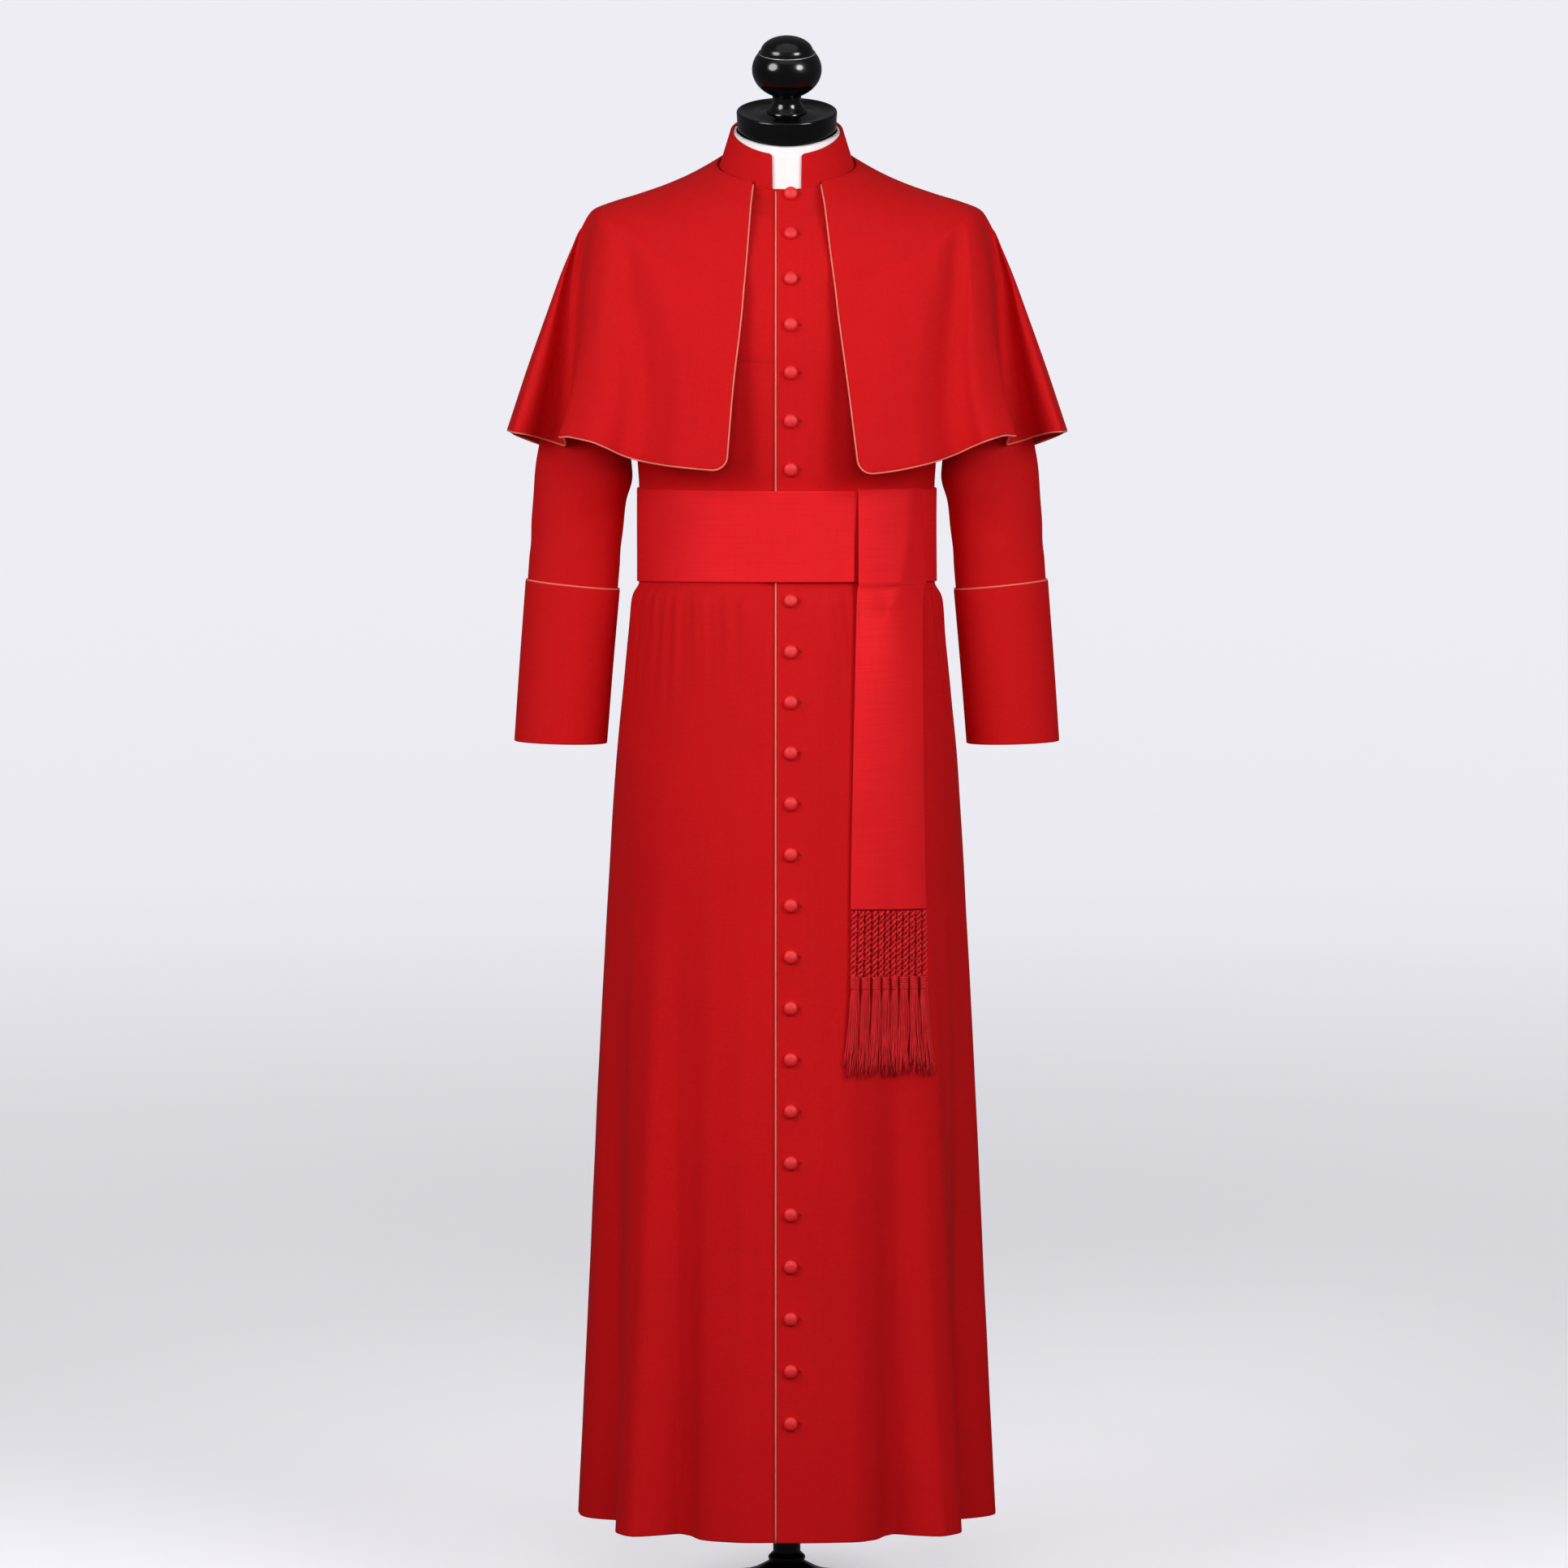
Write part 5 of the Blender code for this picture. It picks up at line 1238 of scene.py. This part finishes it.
class CASSOCK_OT_buttons(bpy.types.Operator):
    """Sew on the covered buttons, each over the end of its buttonhole"""

    bl_idname = "cassock.buttons"
    bl_label = "Buttons and Buttonholes"

    def execute(self, context):
        button, hole = self.model_button(context.scene.cassock_trim.button_radius), self.model_hole()
        for number, height in enumerate(button_heights(), 1):
            levels = np.array([height, height])
            at = np.array([angle_at(BUTTON_X, height), angle_at(HOLE_X, height)])
            seat, out = skin(at, levels, WALL), outward(body, at, levels)
            placed = self.copy(button, f"covered_button_{number:02d}", seat[0] + out[0] * BUTTON_LIFT, out[0])
            dress(placed, button_finish(), "button", f"button_{number:02d}")
            placed = self.copy(hole, f"buttonhole_{number:02d}", seat[1] + out[1] * HOLE_LIFT, out[1])
            dress(placed, thread_finish(), "wool")
        for made in (button, hole):
            bpy.data.objects.remove(made)
        return {"FINISHED"}

    def model_button(self, radius):
        """A domed button whose cover is gathered in behind it."""
        deselect()
        bpy.ops.mesh.primitive_uv_sphere_add(segments=28, ring_count=18, radius=radius)
        made = bpy.context.object
        edit("VERT")
        foot = (0, 0, -BUTTON_CUT)
        bpy.ops.mesh.bisect(plane_co=foot, plane_no=(0, 0, 1), use_fill=True, clear_inner=True)
        bpy.ops.mesh.select_all(action="SELECT")
        bpy.ops.transform.resize(value=(1, 1, BUTTON_FLATTENING), center_override=foot)
        bpy.ops.transform.translate(value=(0, 0, BUTTON_CUT))
        bpy.ops.object.mode_set(mode="OBJECT")
        top = max(v.co.z for v in made.data.vertices)
        tuck, tucks, gathered, flattened = 0.012, 9, 0.06, 0.06
        for v in made.data.vertices:
            turn, low = math.atan2(v.co.y, v.co.x), max(0.0, 1 - v.co.z / (0.5 * top))
            crease = 1 + tuck * low * math.sin(tucks * turn) - gathered * low * low
            crown = 1 - flattened * (v.co.z / top) ** 6
            v.co.x, v.co.y, v.co.z = v.co.x * crease, v.co.y * crease, v.co.z * crown
        bpy.ops.object.shade_smooth()
        return made

    def model_hole(self):
        """A corded buttonhole: a long ring of close stitches round its slit."""
        deselect()
        bpy.ops.mesh.primitive_torus_add(
            major_segments=26, minor_segments=8, major_radius=HOLE_RADIUS, minor_radius=HOLE_CORD
        )
        made = bpy.context.object
        for sign in (1, -1):  # one half of the ring is drawn away to each side
            edit("VERT")
            bpy.ops.mesh.select_all(action="DESELECT")
            bpy.ops.object.mode_set(mode="OBJECT")
            for v in made.data.vertices:
                v.select = v.co.x * sign > 0.0001
            bpy.ops.object.mode_set(mode="EDIT")
            bpy.ops.transform.translate(value=(sign * HOLE_STRETCH, 0, 0))
            bpy.ops.object.mode_set(mode="OBJECT")
        bpy.ops.object.shade_smooth()
        return made

    def copy(self, model, name, place, out):
        """A copy with its own mesh, set on the cloth and facing out of it."""
        made = model.copy()
        made.data = model.data.copy()
        made.name = made.data.name = name
        bpy.context.scene.collection.objects.link(made)
        out = Vector(out)
        across = Vector((0, 0, 1)).cross(out).normalized()
        turn = Matrix((across, out.cross(across), out)).transposed().to_4x4()
        made.data.transform(Matrix.Translation(Vector(place)) @ turn)
        made.data.update()
        return made


# ---------------------------------------------------------------- the cape

def cape_grid(side):
    """Angles and parts of one half of the cape, from its front edge to the middle of the back."""
    above = spans(0, (0.30, 30), (0.60, 46), (1 - CAPE_CORNER_PART, 46))
    turn = np.linspace(0, math.pi / 2, CAPE_CORNER_ROWS)
    part = np.concatenate([above, 1 - CAPE_CORNER_PART * (1 - np.sin(turn))[1:]])
    into = np.clip((part - 1) / CAPE_CORNER_PART + 1, 0, 1)
    shift = CAPE_CORNER * (1 - np.sqrt(1 - into**2))
    across = (read(CAPE_EDGES, side, part) + shift) / read(CAPE, "half_width", part)
    edge = np.arcsin(across ** (1 / read(CAPE, "square", part)))
    # The columns stand evenly along the hem, folds and all.
    angles = np.linspace(0, math.pi, 900)
    along = run(cape(angles * (-1 if side == "right" else 1), np.ones(len(angles))))
    start = np.interp(edge[-1], angles, along)
    spread = np.interp(np.linspace(start, along[-1], CAPE_COLUMNS), along, angles)
    shares = (spread - edge[-1]) / (math.pi - edge[-1])
    middle = math.pi - SEAM / 2 / read(CAPE, "back", part)
    return edge[:, None] + (middle - edge)[:, None] * shares, part[:, None]


class CASSOCK_OT_cape(bpy.types.Operator):
    """Lay the shoulder cape over both shoulders and pipe its edge"""

    bl_idname = "cassock.cape"
    bl_label = "Shoulder Cape"

    def execute(self, context):
        radius = context.scene.cassock_trim.piping_radius
        for side, sign in (("right", -1), ("left", 1)):
            angles, part = cape_grid(side)
            angles = sign * angles
            outer, inner = on_cape(angles, part, 0.0), on_cape(angles, part, -WALL)
            half = dress(cloth(f"cloth_cape_{side}", outer, inner), wool_finish(), "wool", f"cape_{side}")
            # The piping starts where the collar ends, runs down the front edge and round the hem.
            path, across = (
                np.concatenate([grid[2:, 0], grid[-1, 1:]]) for grid in ((inner + outer) / 2, outer - inner)
            )
            away = np.cross(np.gradient(path, axis=0), across) * sign
            away /= np.linalg.norm(away, axis=1, keepdims=True)
            cord = cord_parts(path + away * (radius * 0.9), radius, PIPING_SIDES)
            cord = joined(f"piping_cape_{side}_edge", [cord])
            dress(cord, piping_finish(), "piping", f"piping_cape_{side}")
            rests = ["padded_body", f"cloth_sleeve_{side}"]
            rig.sheet(half, held="draped", rests_on=rests, with_pieces=[cord], **cut_of(outer))
        return {"FINISHED"}


# ---------------------------------------------------------------- the sash, its net and its fringe

def tail_angles(heights, count):
    """Angles across the sash's hanging end at each height."""
    share = (heights - SASH_TOP) / (TAIL_END - SASH_TOP)
    first, last = (angle_at(top + (end - top) * share, heights) for top, end in zip(TAIL_TOP_X, TAIL_END_X))
    return columns(first[:, None], last[:, None], count)


def slanted(height, share):
    """Heights on the hanging end, lower towards the wearer's left as it comes down."""
    return height - TAIL_SLANT * np.clip((SASH_LOW - height) / (SASH_LOW - TAIL_END), 0, 1) * share


def on_tail(share, height, distance):
    """A point of the hanging end: share runs across it, and distance is how far it stands off the form."""
    low, high = tail_angles(np.atleast_1d(height), 2).T
    return skin(low + (high - low) * share, slanted(height, share), distance)


def net_distance(height):
    """How far the net stands off the form, a little closer towards its end."""
    return NET_STANDOFF - NET_SINK * np.clip((TAIL_END - height) / (TAIL_END - NET_END), 0, 1)


class CASSOCK_OT_sash(bpy.types.Operator):
    """Wind the sash round the waist and let its end hang in front, with its net and fringe"""

    bl_idname = "cassock.sash"
    bl_label = "Sash and Fringe"

    def execute(self, context):
        self.make_band()
        settings = context.scene.cassock_sash
        pieces = [self.make_net(settings), self.make_fringe(settings)]
        tail, flat = self.make_tail()
        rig.sheet(tail, held="hung", rests_on=["silk_band"], with_pieces=pieces, **flat)
        return {"FINISHED"}

    def make_band(self):
        """Once round the waist, with its outer end lapped over the inner one in front."""
        rows = np.linspace(SASH_LOW, SASH_TOP, BAND_ROWS)[:, None]
        angles = columns(angle_at(BAND_START, rows), math.tau + angle_at(BAND_END, rows), BAND_COLUMNS)
        last_quarter = angles > 1.5 * math.pi
        near = WALL + GAP + (WALL + GAP) * ease(body(angles, rows)[..., 0], *BAND_LAP) * last_quarter
        below_top = (SASH_TOP - rows) / (SASH_TOP - SASH_LOW)
        levels = rows + SASH_LIFT * np.clip(np.cos(angles), 0, 1) * below_top
        outer, inner = skin(angles, levels, near + WALL), skin(angles, levels, near)
        band = dress(cloth("silk_band", outer, inner), silk_finish(), "silk", "sash_band")
        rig.sheet(band, held="stretched", rests_on=BODY_CLOTH, **cut_of(outer))

    def make_tail(self):
        """The end comes over the band's top edge, turns down and falls in front of the skirt."""
        over, clear = SASH_TOP + GAP, TAIL_STANDOFF
        down = spans(over - 0.004, (SASH_LOW, 26), (TAIL_END, 92))
        levels, proud = np.array(TAIL_FALL).T
        away = curve(levels, read(BODY, "front", levels) + proud, down) - read(BODY, "front", down)
        bend = np.linspace(math.pi / 2, 0, 7)
        share = np.linspace(0, 1, TAIL_COLUMNS)
        faces = []
        for thick in (WALL, 0.0):
            reach = TAIL_BEND + thick
            height = np.concatenate([[over + thick] * 2, over - TAIL_BEND + reach * np.sin(bend), down])
            under = [WALL + 3 * GAP, clear - 0.001]  # its tucked edge
            off = np.concatenate([under, clear - TAIL_BEND + reach * np.cos(bend), clear + away + thick])
            faces.append(skin(tail_angles(height, TAIL_COLUMNS), slanted(height[:, None], share), off[:, None]))
        tail = dress(cloth("silk_tail", *faces), silk_finish(), "silk", "sash_tail")
        return tail, cut_of(faces[0])

    def make_net(self, settings):
        """Twisted cords side by side, each tied to the next one at every other turn."""
        radius, draw = settings.cord_radius, np.random.default_rng(5)
        top = TAIL_END - GAP
        step = (top - NET_END - HEAD_RISE) / NET_TURNS
        phase = np.linspace(0, NET_TURNS, NET_TURNS * PLY_POINTS + 1)
        starts = [draw.uniform(0, 1) for line in range(NET_CORDS)]
        cords = []
        for line, start in enumerate(starts):
            height = top - 0.0010 - phase * (step - 0.0001)
            bulge = 1 + 0.16 * np.sin(2.3 * phase + 1.7 * line)
            for ply in (0, 1):
                turn = math.pi * (phase + start) + math.pi * ply
                share = (line + 0.5) / NET_CORDS + PLY_SIDEWAYS * np.cos(turn) / TAIL_WIDTH
                depth = net_distance(height) + PLY_FORWARDS * np.sin(turn)
                cords.append(cord_parts(on_tail(share, height, depth), radius * bulge, PLY_SIDES))
            for row in range(line % 2, NET_TURNS if line else 0, 2):
                along = np.linspace(0, 1, 6)
                tie = top - (row + 0.5 + 0.5 * (1 - along)) * step
                depth = net_distance(tie) - 0.0004 + TIE_RISE * np.sin(math.pi * along)
                path = on_tail((line - 0.5 + along) / NET_CORDS, tie, depth)
                cords.append(cord_parts(path, radius * TIE_THICKNESS, 6))
        return dress(joined("knotted_net", cords), yarn_finish(), "silk", "sash_net")

    def make_fringe(self, settings):
        """Locks of yarn, wound round at their heads, that loosen and spread towards their ends."""
        draw = np.random.default_rng(11)
        foot = NET_END + HEAD_RISE - WINDINGS * WINDING_PITCH
        cords = []
        for lock in range(LOCKS):
            centre, swing = (lock + 0.5) / LOCKS, 0.0022 * math.sin(2.1 * lock + 0.5)
            cords += self.windings(centre)
            for strand in range(settings.strands):
                turn, reach = GOLDEN_TURN * strand, math.sqrt((strand + 0.5) / settings.strands)
                cords.append(self.strand(draw, centre, swing, foot, turn, reach, settings.yarn_radius))
        return dress(joined("silk_fringe", cords), yarn_finish(), "silk", "sash_fringe")

    def windings(self, centre):
        """The yarn that is wound round the head of a lock."""
        turn = full_turn(18)
        share = centre + HEAD_WIDTH / TAIL_WIDTH * np.cos(turn)
        depth = NET_STANDOFF + HEAD_DEPTH * np.sin(turn)
        for ring in range(WINDINGS):
            height = NET_END + HEAD_RISE - (ring + 0.5) * WINDING_PITCH + 0.0006 * np.sin(turn)
            yield cord_parts(on_tail(share, height, depth), WINDING_RADIUS, 6, closed=True)

    def strand(self, draw, centre, swing, foot, turn, reach, radius):
        """One strand of a lock. turn and reach are its place in the lock's round section."""
        fall = np.linspace(0, 1, 17)
        length = (foot - FRINGE_END) * draw.uniform(0.90, 1.09)
        loose = ease(fall, 0.5, 1)
        wide = (0.0032 + 0.0013 * ease(fall, 0, 0.25) + 0.0010 * loose) * reach * math.cos(turn)
        wide = wide + draw.normal(0, 0.0019) * ease(fall, 0.6, 1) ** 1.4 + swing * loose
        wide = wide + 0.0004 * fall * np.sin(9 * fall + draw.uniform(0, 6.28))
        deep = (0.0018 + 0.0008 * loose) * reach * math.sin(turn)
        deep = deep + 0.0003 * np.sin(7 * fall + draw.uniform(0, 6.28))
        share = 0.5 + (centre - 0.5) * (1 + 0.10 * fall**2) + wide / TAIL_WIDTH
        path = on_tail(share, foot + 0.002 - length * fall, NET_STANDOFF + deep)
        return cord_parts(path, radius * (1 - 0.45 * ease(fall, 0.75, 1)), 5)


# ---------------------------------------------------------------- the form and its stand

class CASSOCK_OT_form(bpy.types.Operator):
    """Pad the limbless form inside the cassock"""

    bl_idname = "cassock.form"
    bl_label = "Padded Form"

    def execute(self, context):
        levels = spans(FORM_FOOT, (SASH_LOW, 30), (SASH_TOP, 10), (1.49, 30), (NECK, 24))[:, None]
        around = np.linspace(-math.pi, math.pi, FORM_COLUMNS + 1)[:-1]
        angles = around + 0 * levels
        throat = FORM_THROAT * np.clip(np.cos(angles) + 0.3, 0, 1)
        hips = FORM_HIPS * ease(levels, SASH_LOW, FORM_FOOT)
        foot = FORM_ROUNDING * (1 - ease(levels, FORM_FOOT, FORM_FOOT + FORM_ROUNDING))
        off_seat = FORM_SLACK * np.clip((1.530 - levels) / 0.05, 0, 1)
        off_neck = throat * ease(levels, 1.535, 1.555)
        clear = GAP + FORM_EASE * np.abs(np.cos(angles)) + hips + foot + off_seat + off_neck
        points = body(angles, levels) - outward(body, angles, levels) * clear[..., None]
        points[0, :, 2] = FORM_FOOT
        edge_drop = NECK_SCOOP * front_share(around) + NECK_EDGE
        points[-1] = on_collar(around, -edge_drop, -NECK_EDGE - throat[-1])
        block_seat = on_collar(around, 0, -NECK_SEAT)
        padded = sheet_mesh("padded_body", *self.closed(np.concatenate([points, block_seat[None]])))
        dress(padded, canvas_finish(), "linen", "form_body")
        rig.padded(padded, fill=1.0)
        return {"FINISHED"}

    def closed(self, rings):
        """Points, faces and UVs of a shape of rings, with a fan of faces over each end."""
        rows, count = rings.shape[:2]
        tips = [rings[0].mean(axis=0), rings[-1].mean(axis=0)]
        along = run(rings[:, 0])
        faces, uvs = [], []
        for r in range(rows - 1):
            low, high = along[r], along[r + 1]
            for c in range(count):
                d = (c + 1) % count
                faces.append((r * count + c, r * count + d, (r + 1) * count + d, (r + 1) * count + c))
                near, far = c * FORM_WEAVE, (c + 1) * FORM_WEAVE
                uvs.append(np.array([[near, low], [far, low], [far, high], [near, high]]))
        for ring, tip, end in ((0, tips[0], rows * count), (rows - 1, tips[1], rows * count + 1)):
            for c in range(count):
                pair = (c, (c + 1) % count) if ring else ((c + 1) % count, c)
                faces.append((*[ring * count + k for k in pair], end))
                uvs.append(np.array([*[rings[ring, k, :2] for k in pair], tip[:2]]))
        return np.concatenate([rings.reshape(-1, 3), tips]), faces, uvs


class CASSOCK_OT_stand(bpy.types.Operator):
    """Turn the neck block, its finial, the pole and the foot"""

    bl_idname = "cassock.stand"
    bl_label = "Neck Block and Stand"

    def execute(self, context):
        on_block = neck_matrix(BLOCK_RISE + DISH + GAP)
        on_base = Matrix.Translation((0, 0, BASE_NECK + GAP))
        self.piece("neck_block", "form_neck_block", rounded(BLOCK_PROFILE, 3), neck_matrix(BLOCK_RISE))
        self.piece("finial_ball", "form_finial", self.finial(), on_block)
        self.ring(on_block)
        self.piece("pole", "stand_pole", self.pole(FORM_FOOT - BASE_NECK - 2 * GAP), on_base)
        self.piece("turned_foot", "stand_base", rounded(FOOT_PROFILE, 3), Matrix())
        return {"FINISHED"}

    def piece(self, name, node, profile, matrix):
        """One turned and lacquered piece."""
        made = turned(name, profile, bpy.context.scene.cassock_stand.steps, matrix)
        dress(made, lacquer_finish(), "lacquer", node)

    def pole(self, tall):
        """A plain rod with its edges broken."""
        thin = POLE_RADIUS - POLE_CHAMFER
        low = [(thin, 0.0), (POLE_RADIUS, POLE_CHAMFER), (POLE_RADIUS, 0.02), (POLE_RADIUS, tall / 2)]
        return low + [(POLE_RADIUS, tall - POLE_CHAMFER), (thin, tall), (TINY, tall)]

    def ring(self, matrix):
        """The narrow bead where the cap meets the ball, in a light grey that is painted highlight along the seam."""
        deselect()
        bpy.ops.mesh.primitive_torus_add(
            major_segments=96, minor_segments=8, major_radius=RING_RADIUS, minor_radius=RING_CORD,
            location=(0, 0, RING_HEIGHT),
        )  # fmt: skip
        made = bpy.context.object
        made.name = made.data.name = "finial_edge"
        settle(made, matrix)
        bpy.ops.object.shade_smooth()
        dress(made, seam_highlight_finish(), "lacquer")

    def finial(self):
        """A ball on a short stem, with a low cap let into its top."""
        turns = np.linspace(math.radians(-65), math.acos(CAP_SEAM / BALL_RADIUS), 40)
        ball = [(BALL_RADIUS * math.cos(t), BALL_MIDDLE + BALL_HALF_HEIGHT * math.sin(t)) for t in turns]
        seam = ball[-1][1]
        bead = [(CAP_SEAM + out, seam + up) for out, up in CAP_BEAD]
        wide, foot = CAP_SEAM - CAP_INSET, seam + CAP_LIFT
        turns = np.radians(np.linspace(3, 89, 26))
        cap = [(wide * math.cos(t), foot + CAP_DOME * math.sin(t)) for t in turns]
        return rounded(STEM_PROFILE, 3)[:-1] + ball + bead + cap + [(TINY, foot + CAP_DOME)]


# ---------------------------------------------------------------- the studio

class CASSOCK_OT_studio(bpy.types.Operator):
    """Lay the pale sweep, hang the lights and set up the camera"""

    bl_idname = "cassock.studio"
    bl_label = "Studio"

    def execute(self, context):
        stage, scene = context.scene.cassock_stage, context.scene
        data = bpy.data.cameras.new("camera")
        data.lens, data.sensor_width = LENS, SENSOR
        scene.camera = self.hang("camera", data, CAMERA_PLACE, CAMERA_AIM)
        self.sweep()
        # Each light is hidden from one kind of ray, so that the cloth and the lacquer are lit apart.
        # The back light's narrow spread keeps it off the floor that the camera sees.
        key, shine = (stage.key_size, stage.key_power), (stage.shine_size, stage.shine_power)
        lights = table(
            "name place aim size power hidden_from spread",
            ("key_left", (-2.05, -1.91, 2.05), CHEST, *key, "glossy", 180),
            ("shine_left", (-2.05, -1.91, 2.60), CHEST, *shine, "diffuse", 180),
            ("key_right", (1.97, -2.16, 2.05), CHEST, *key, "glossy", 180),
            ("shine_right", (1.97, -2.16, 2.58), CHEST, 0.75 * shine[0], shine[1], "diffuse", 180),
            ("overhead", (0.0, -0.8, 3.4), CHEST, 2.4, stage.top_power, "camera", 180),
            ("front_light", (-0.05, -2.70, 1.70), WAIST, stage.front_size, stage.front_power, "glossy", 180),
            ("back_light", (0.9, 3.2, 1.35), HIPS, 1.6, stage.back_power, "glossy", 60),
        )
        for light in lights:
            data = bpy.data.lights.new(light.name, "AREA")
            data.shape, data.size, data.energy = "DISK", light.size, light.power
            data.spread = math.radians(light.spread)
            made = self.hang(light.name, data, light.place, light.aim)
            made.visible_camera = False
            setattr(made, f"visible_{light.hidden_from}", False)
        world = bpy.data.worlds.new("studio")
        world.use_nodes = True
        room = world.node_tree.nodes["Background"].inputs
        room["Color"].default_value = shade(stage.room_color)
        room["Strength"].default_value = stage.room_light
        scene.world = world
        scene.view_settings.view_transform = "Standard"
        scene.view_settings.look = "None"
        return {"FINISHED"}

    def hang(self, name, data, place, aim):
        """A camera or a light at its place, turned to what it aims at."""
        made = bpy.data.objects.new(name, data)
        made.location = place
        made.rotation_euler = (Vector(aim) - Vector(place)).to_track_quat("-Z", "Y").to_euler()
        bpy.context.scene.collection.objects.link(made)
        return made

    def sweep(self):
        """A round floor that curves up into a low wall far behind, whichever side it is seen from."""
        deselect()
        bpy.ops.mesh.primitive_circle_add(vertices=96, radius=SWEEP_START, fill_type="NGON", location=(0, 0, 0))
        made = bpy.context.object
        made.name = made.data.name = "sweep"
        edit("EDGE")
        bpy.ops.mesh.region_to_loop()
        turns = np.linspace(0, math.pi / 2, 14)[1:]
        bend = [(SWEEP_REACH + SWEEP_BEND * math.sin(t), SWEEP_BEND - SWEEP_BEND * math.cos(t)) for t in turns]
        flat = [(SWEEP_START, 0.0), (1.5, 0), (4.0, 0), (SWEEP_REACH, 0)]
        extrude_rings(flat + bend + [(SWEEP_REACH + SWEEP_BEND, SWEEP_TOP)])
        bpy.ops.mesh.select_all(action="SELECT")
        bpy.ops.mesh.normals_make_consistent(inside=True)
        bpy.ops.object.mode_set(mode="OBJECT")
        bpy.ops.object.shade_smooth()
        made.data.materials.append(floor_finish())
        made.visible_diffuse = made.visible_glossy = False
        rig.stage(made)


# ---------------------------------------------------------------- settings and panel

def tint(name, description, default):
    """A colour that the user may change."""
    return FloatVectorProperty(
        name=name, description=description, default=default, size=3, min=0, max=1, subtype="COLOR"
    )


def length(name, description, default):
    """A size in metres."""
    return FloatProperty(name=name, description=description, default=default, min=0, unit="LENGTH", precision=5)


def power(name, description, default):
    """The power of a light in watts."""
    return FloatProperty(name=name, description=description, default=default, min=0, unit="POWER")


class ClothSettings(bpy.types.PropertyGroup):
    """Colours of the cloth"""

    wool_color: tint("Wool", "Colour of the cassock and its cape", (0.600, 0.0038, 0.0060))
    silk_color: tint("Silk", "Colour of the sash", (0.730, 0.0085, 0.0135))


class TrimSettings(bpy.types.PropertyGroup):
    """Colours and sizes of the piping and the buttons"""

    piping_color: tint("Piping", "Colour of the cord along the edges", (0.860, 0.190, 0.130))
    piping_radius: length("Piping radius", "Half the thickness of that cord", 0.00095)
    button_color: tint("Buttons", "Colour of the cloth over the buttons", (0.800, 0.0120, 0.0160))
    button_radius: length("Button radius", "Half the width of a covered button", 0.0075)


class SashSettings(bpy.types.PropertyGroup):
    """Colour and thickness of the yarn"""

    yarn_color: tint("Yarn", "Colour of the net and the fringe", (0.780, 0.0100, 0.0160))
    cord_radius: length("Net cord radius", "Half the thickness of the plies of the net", 0.00135)
    yarn_radius: length("Fringe yarn radius", "Half the thickness of a strand of the fringe", 0.00068)
    strands: IntProperty(name="Strands", description="Strands in each lock of the fringe", default=30, min=1)


class StandSettings(bpy.types.PropertyGroup):
    """Finish and fineness of the turned pieces"""

    lacquer_color: tint("Lacquer", "Colour under the polish of the turned pieces", (0.0022, 0.0022, 0.0024))
    steps: IntProperty(name="Steps", description="Faces round each turned piece", default=96, min=12)


class StageSettings(bpy.types.PropertyGroup):
    """The room, the sweep and the lights"""

    sweep_color: tint("Sweep", "Colour of the floor and the wall behind", (0.860, 0.855, 0.900))
    room_color: tint("Room", "Colour of the light that fills the room", (0.93, 0.93, 1.0))
    room_light: FloatProperty(
        name="Room light", description="Strength of the light that fills the room", default=0.10
    )
    front_size: length("Front light size", "Width of the large light before the form", 1.5)
    front_power: power("Front power", "Power of the front light", 20.0)
    key_size: length("Key size", "Width of the soft lights to the left and right", 1.8)
    key_power: power("Key power", "Power of each of them", 46.0)
    shine_size: length("Shine size", "Width of the panel mirrored in the lacquer", 1.5)
    shine_power: power("Shine power", "Power of each panel", 76.0)
    back_power: power("Back power", "Power of the light behind", 5.0)
    top_power: power("Top power", "Power of the overhead light", 8.0)


STEPS = (
    CASSOCK_OT_studio, CASSOCK_OT_form, CASSOCK_OT_skirt_and_bodice, CASSOCK_OT_sleeves, CASSOCK_OT_collar,
    CASSOCK_OT_buttons, CASSOCK_OT_cape, CASSOCK_OT_sash, CASSOCK_OT_stand,
)  # fmt: skip
SETTINGS = {
    "cassock_cloth": ClothSettings,
    "cassock_trim": TrimSettings,
    "cassock_sash": SashSettings,
    "cassock_stand": StandSettings,
    "cassock_stage": StageSettings,
}


class CASSOCK_PT_dresser(bpy.types.Panel):
    """Settings and steps of the cassock"""

    bl_label = "Cassock"
    bl_idname = "CASSOCK_PT_dresser"
    bl_space_type = "VIEW_3D"
    bl_region_type = "UI"
    bl_category = "Cassock"

    def draw(self, context):
        for name, group in SETTINGS.items():
            box = self.layout.box()
            for key in group.__annotations__:
                box.prop(getattr(context.scene, name), key)
        for step in STEPS:
            self.layout.operator(step.bl_idname)


def register():
    for made in (*SETTINGS.values(), *STEPS, CASSOCK_PT_dresser):
        bpy.utils.register_class(made)
    for name, group in SETTINGS.items():
        setattr(bpy.types.Scene, name, PointerProperty(type=group))


def unregister():
    for name in SETTINGS:
        delattr(bpy.types.Scene, name)
    for made in reversed((*SETTINGS.values(), *STEPS, CASSOCK_PT_dresser)):
        bpy.utils.unregister_class(made)


def main():
    """Makes every piece and the studio, and writes the sizes of the solids and of the dressed model."""
    register()
    for step in STEPS:
        group, name = step.bl_idname.split(".")
        getattr(getattr(bpy.ops, group), name)()
    low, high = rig.bounds()
    with open("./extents.json", "w") as out:
        json.dump({"cad": [list(CAD_LOW), list(CAD_HIGH)], "visual": [list(low), list(high)]}, out)


if __name__ == "__main__":
    main()
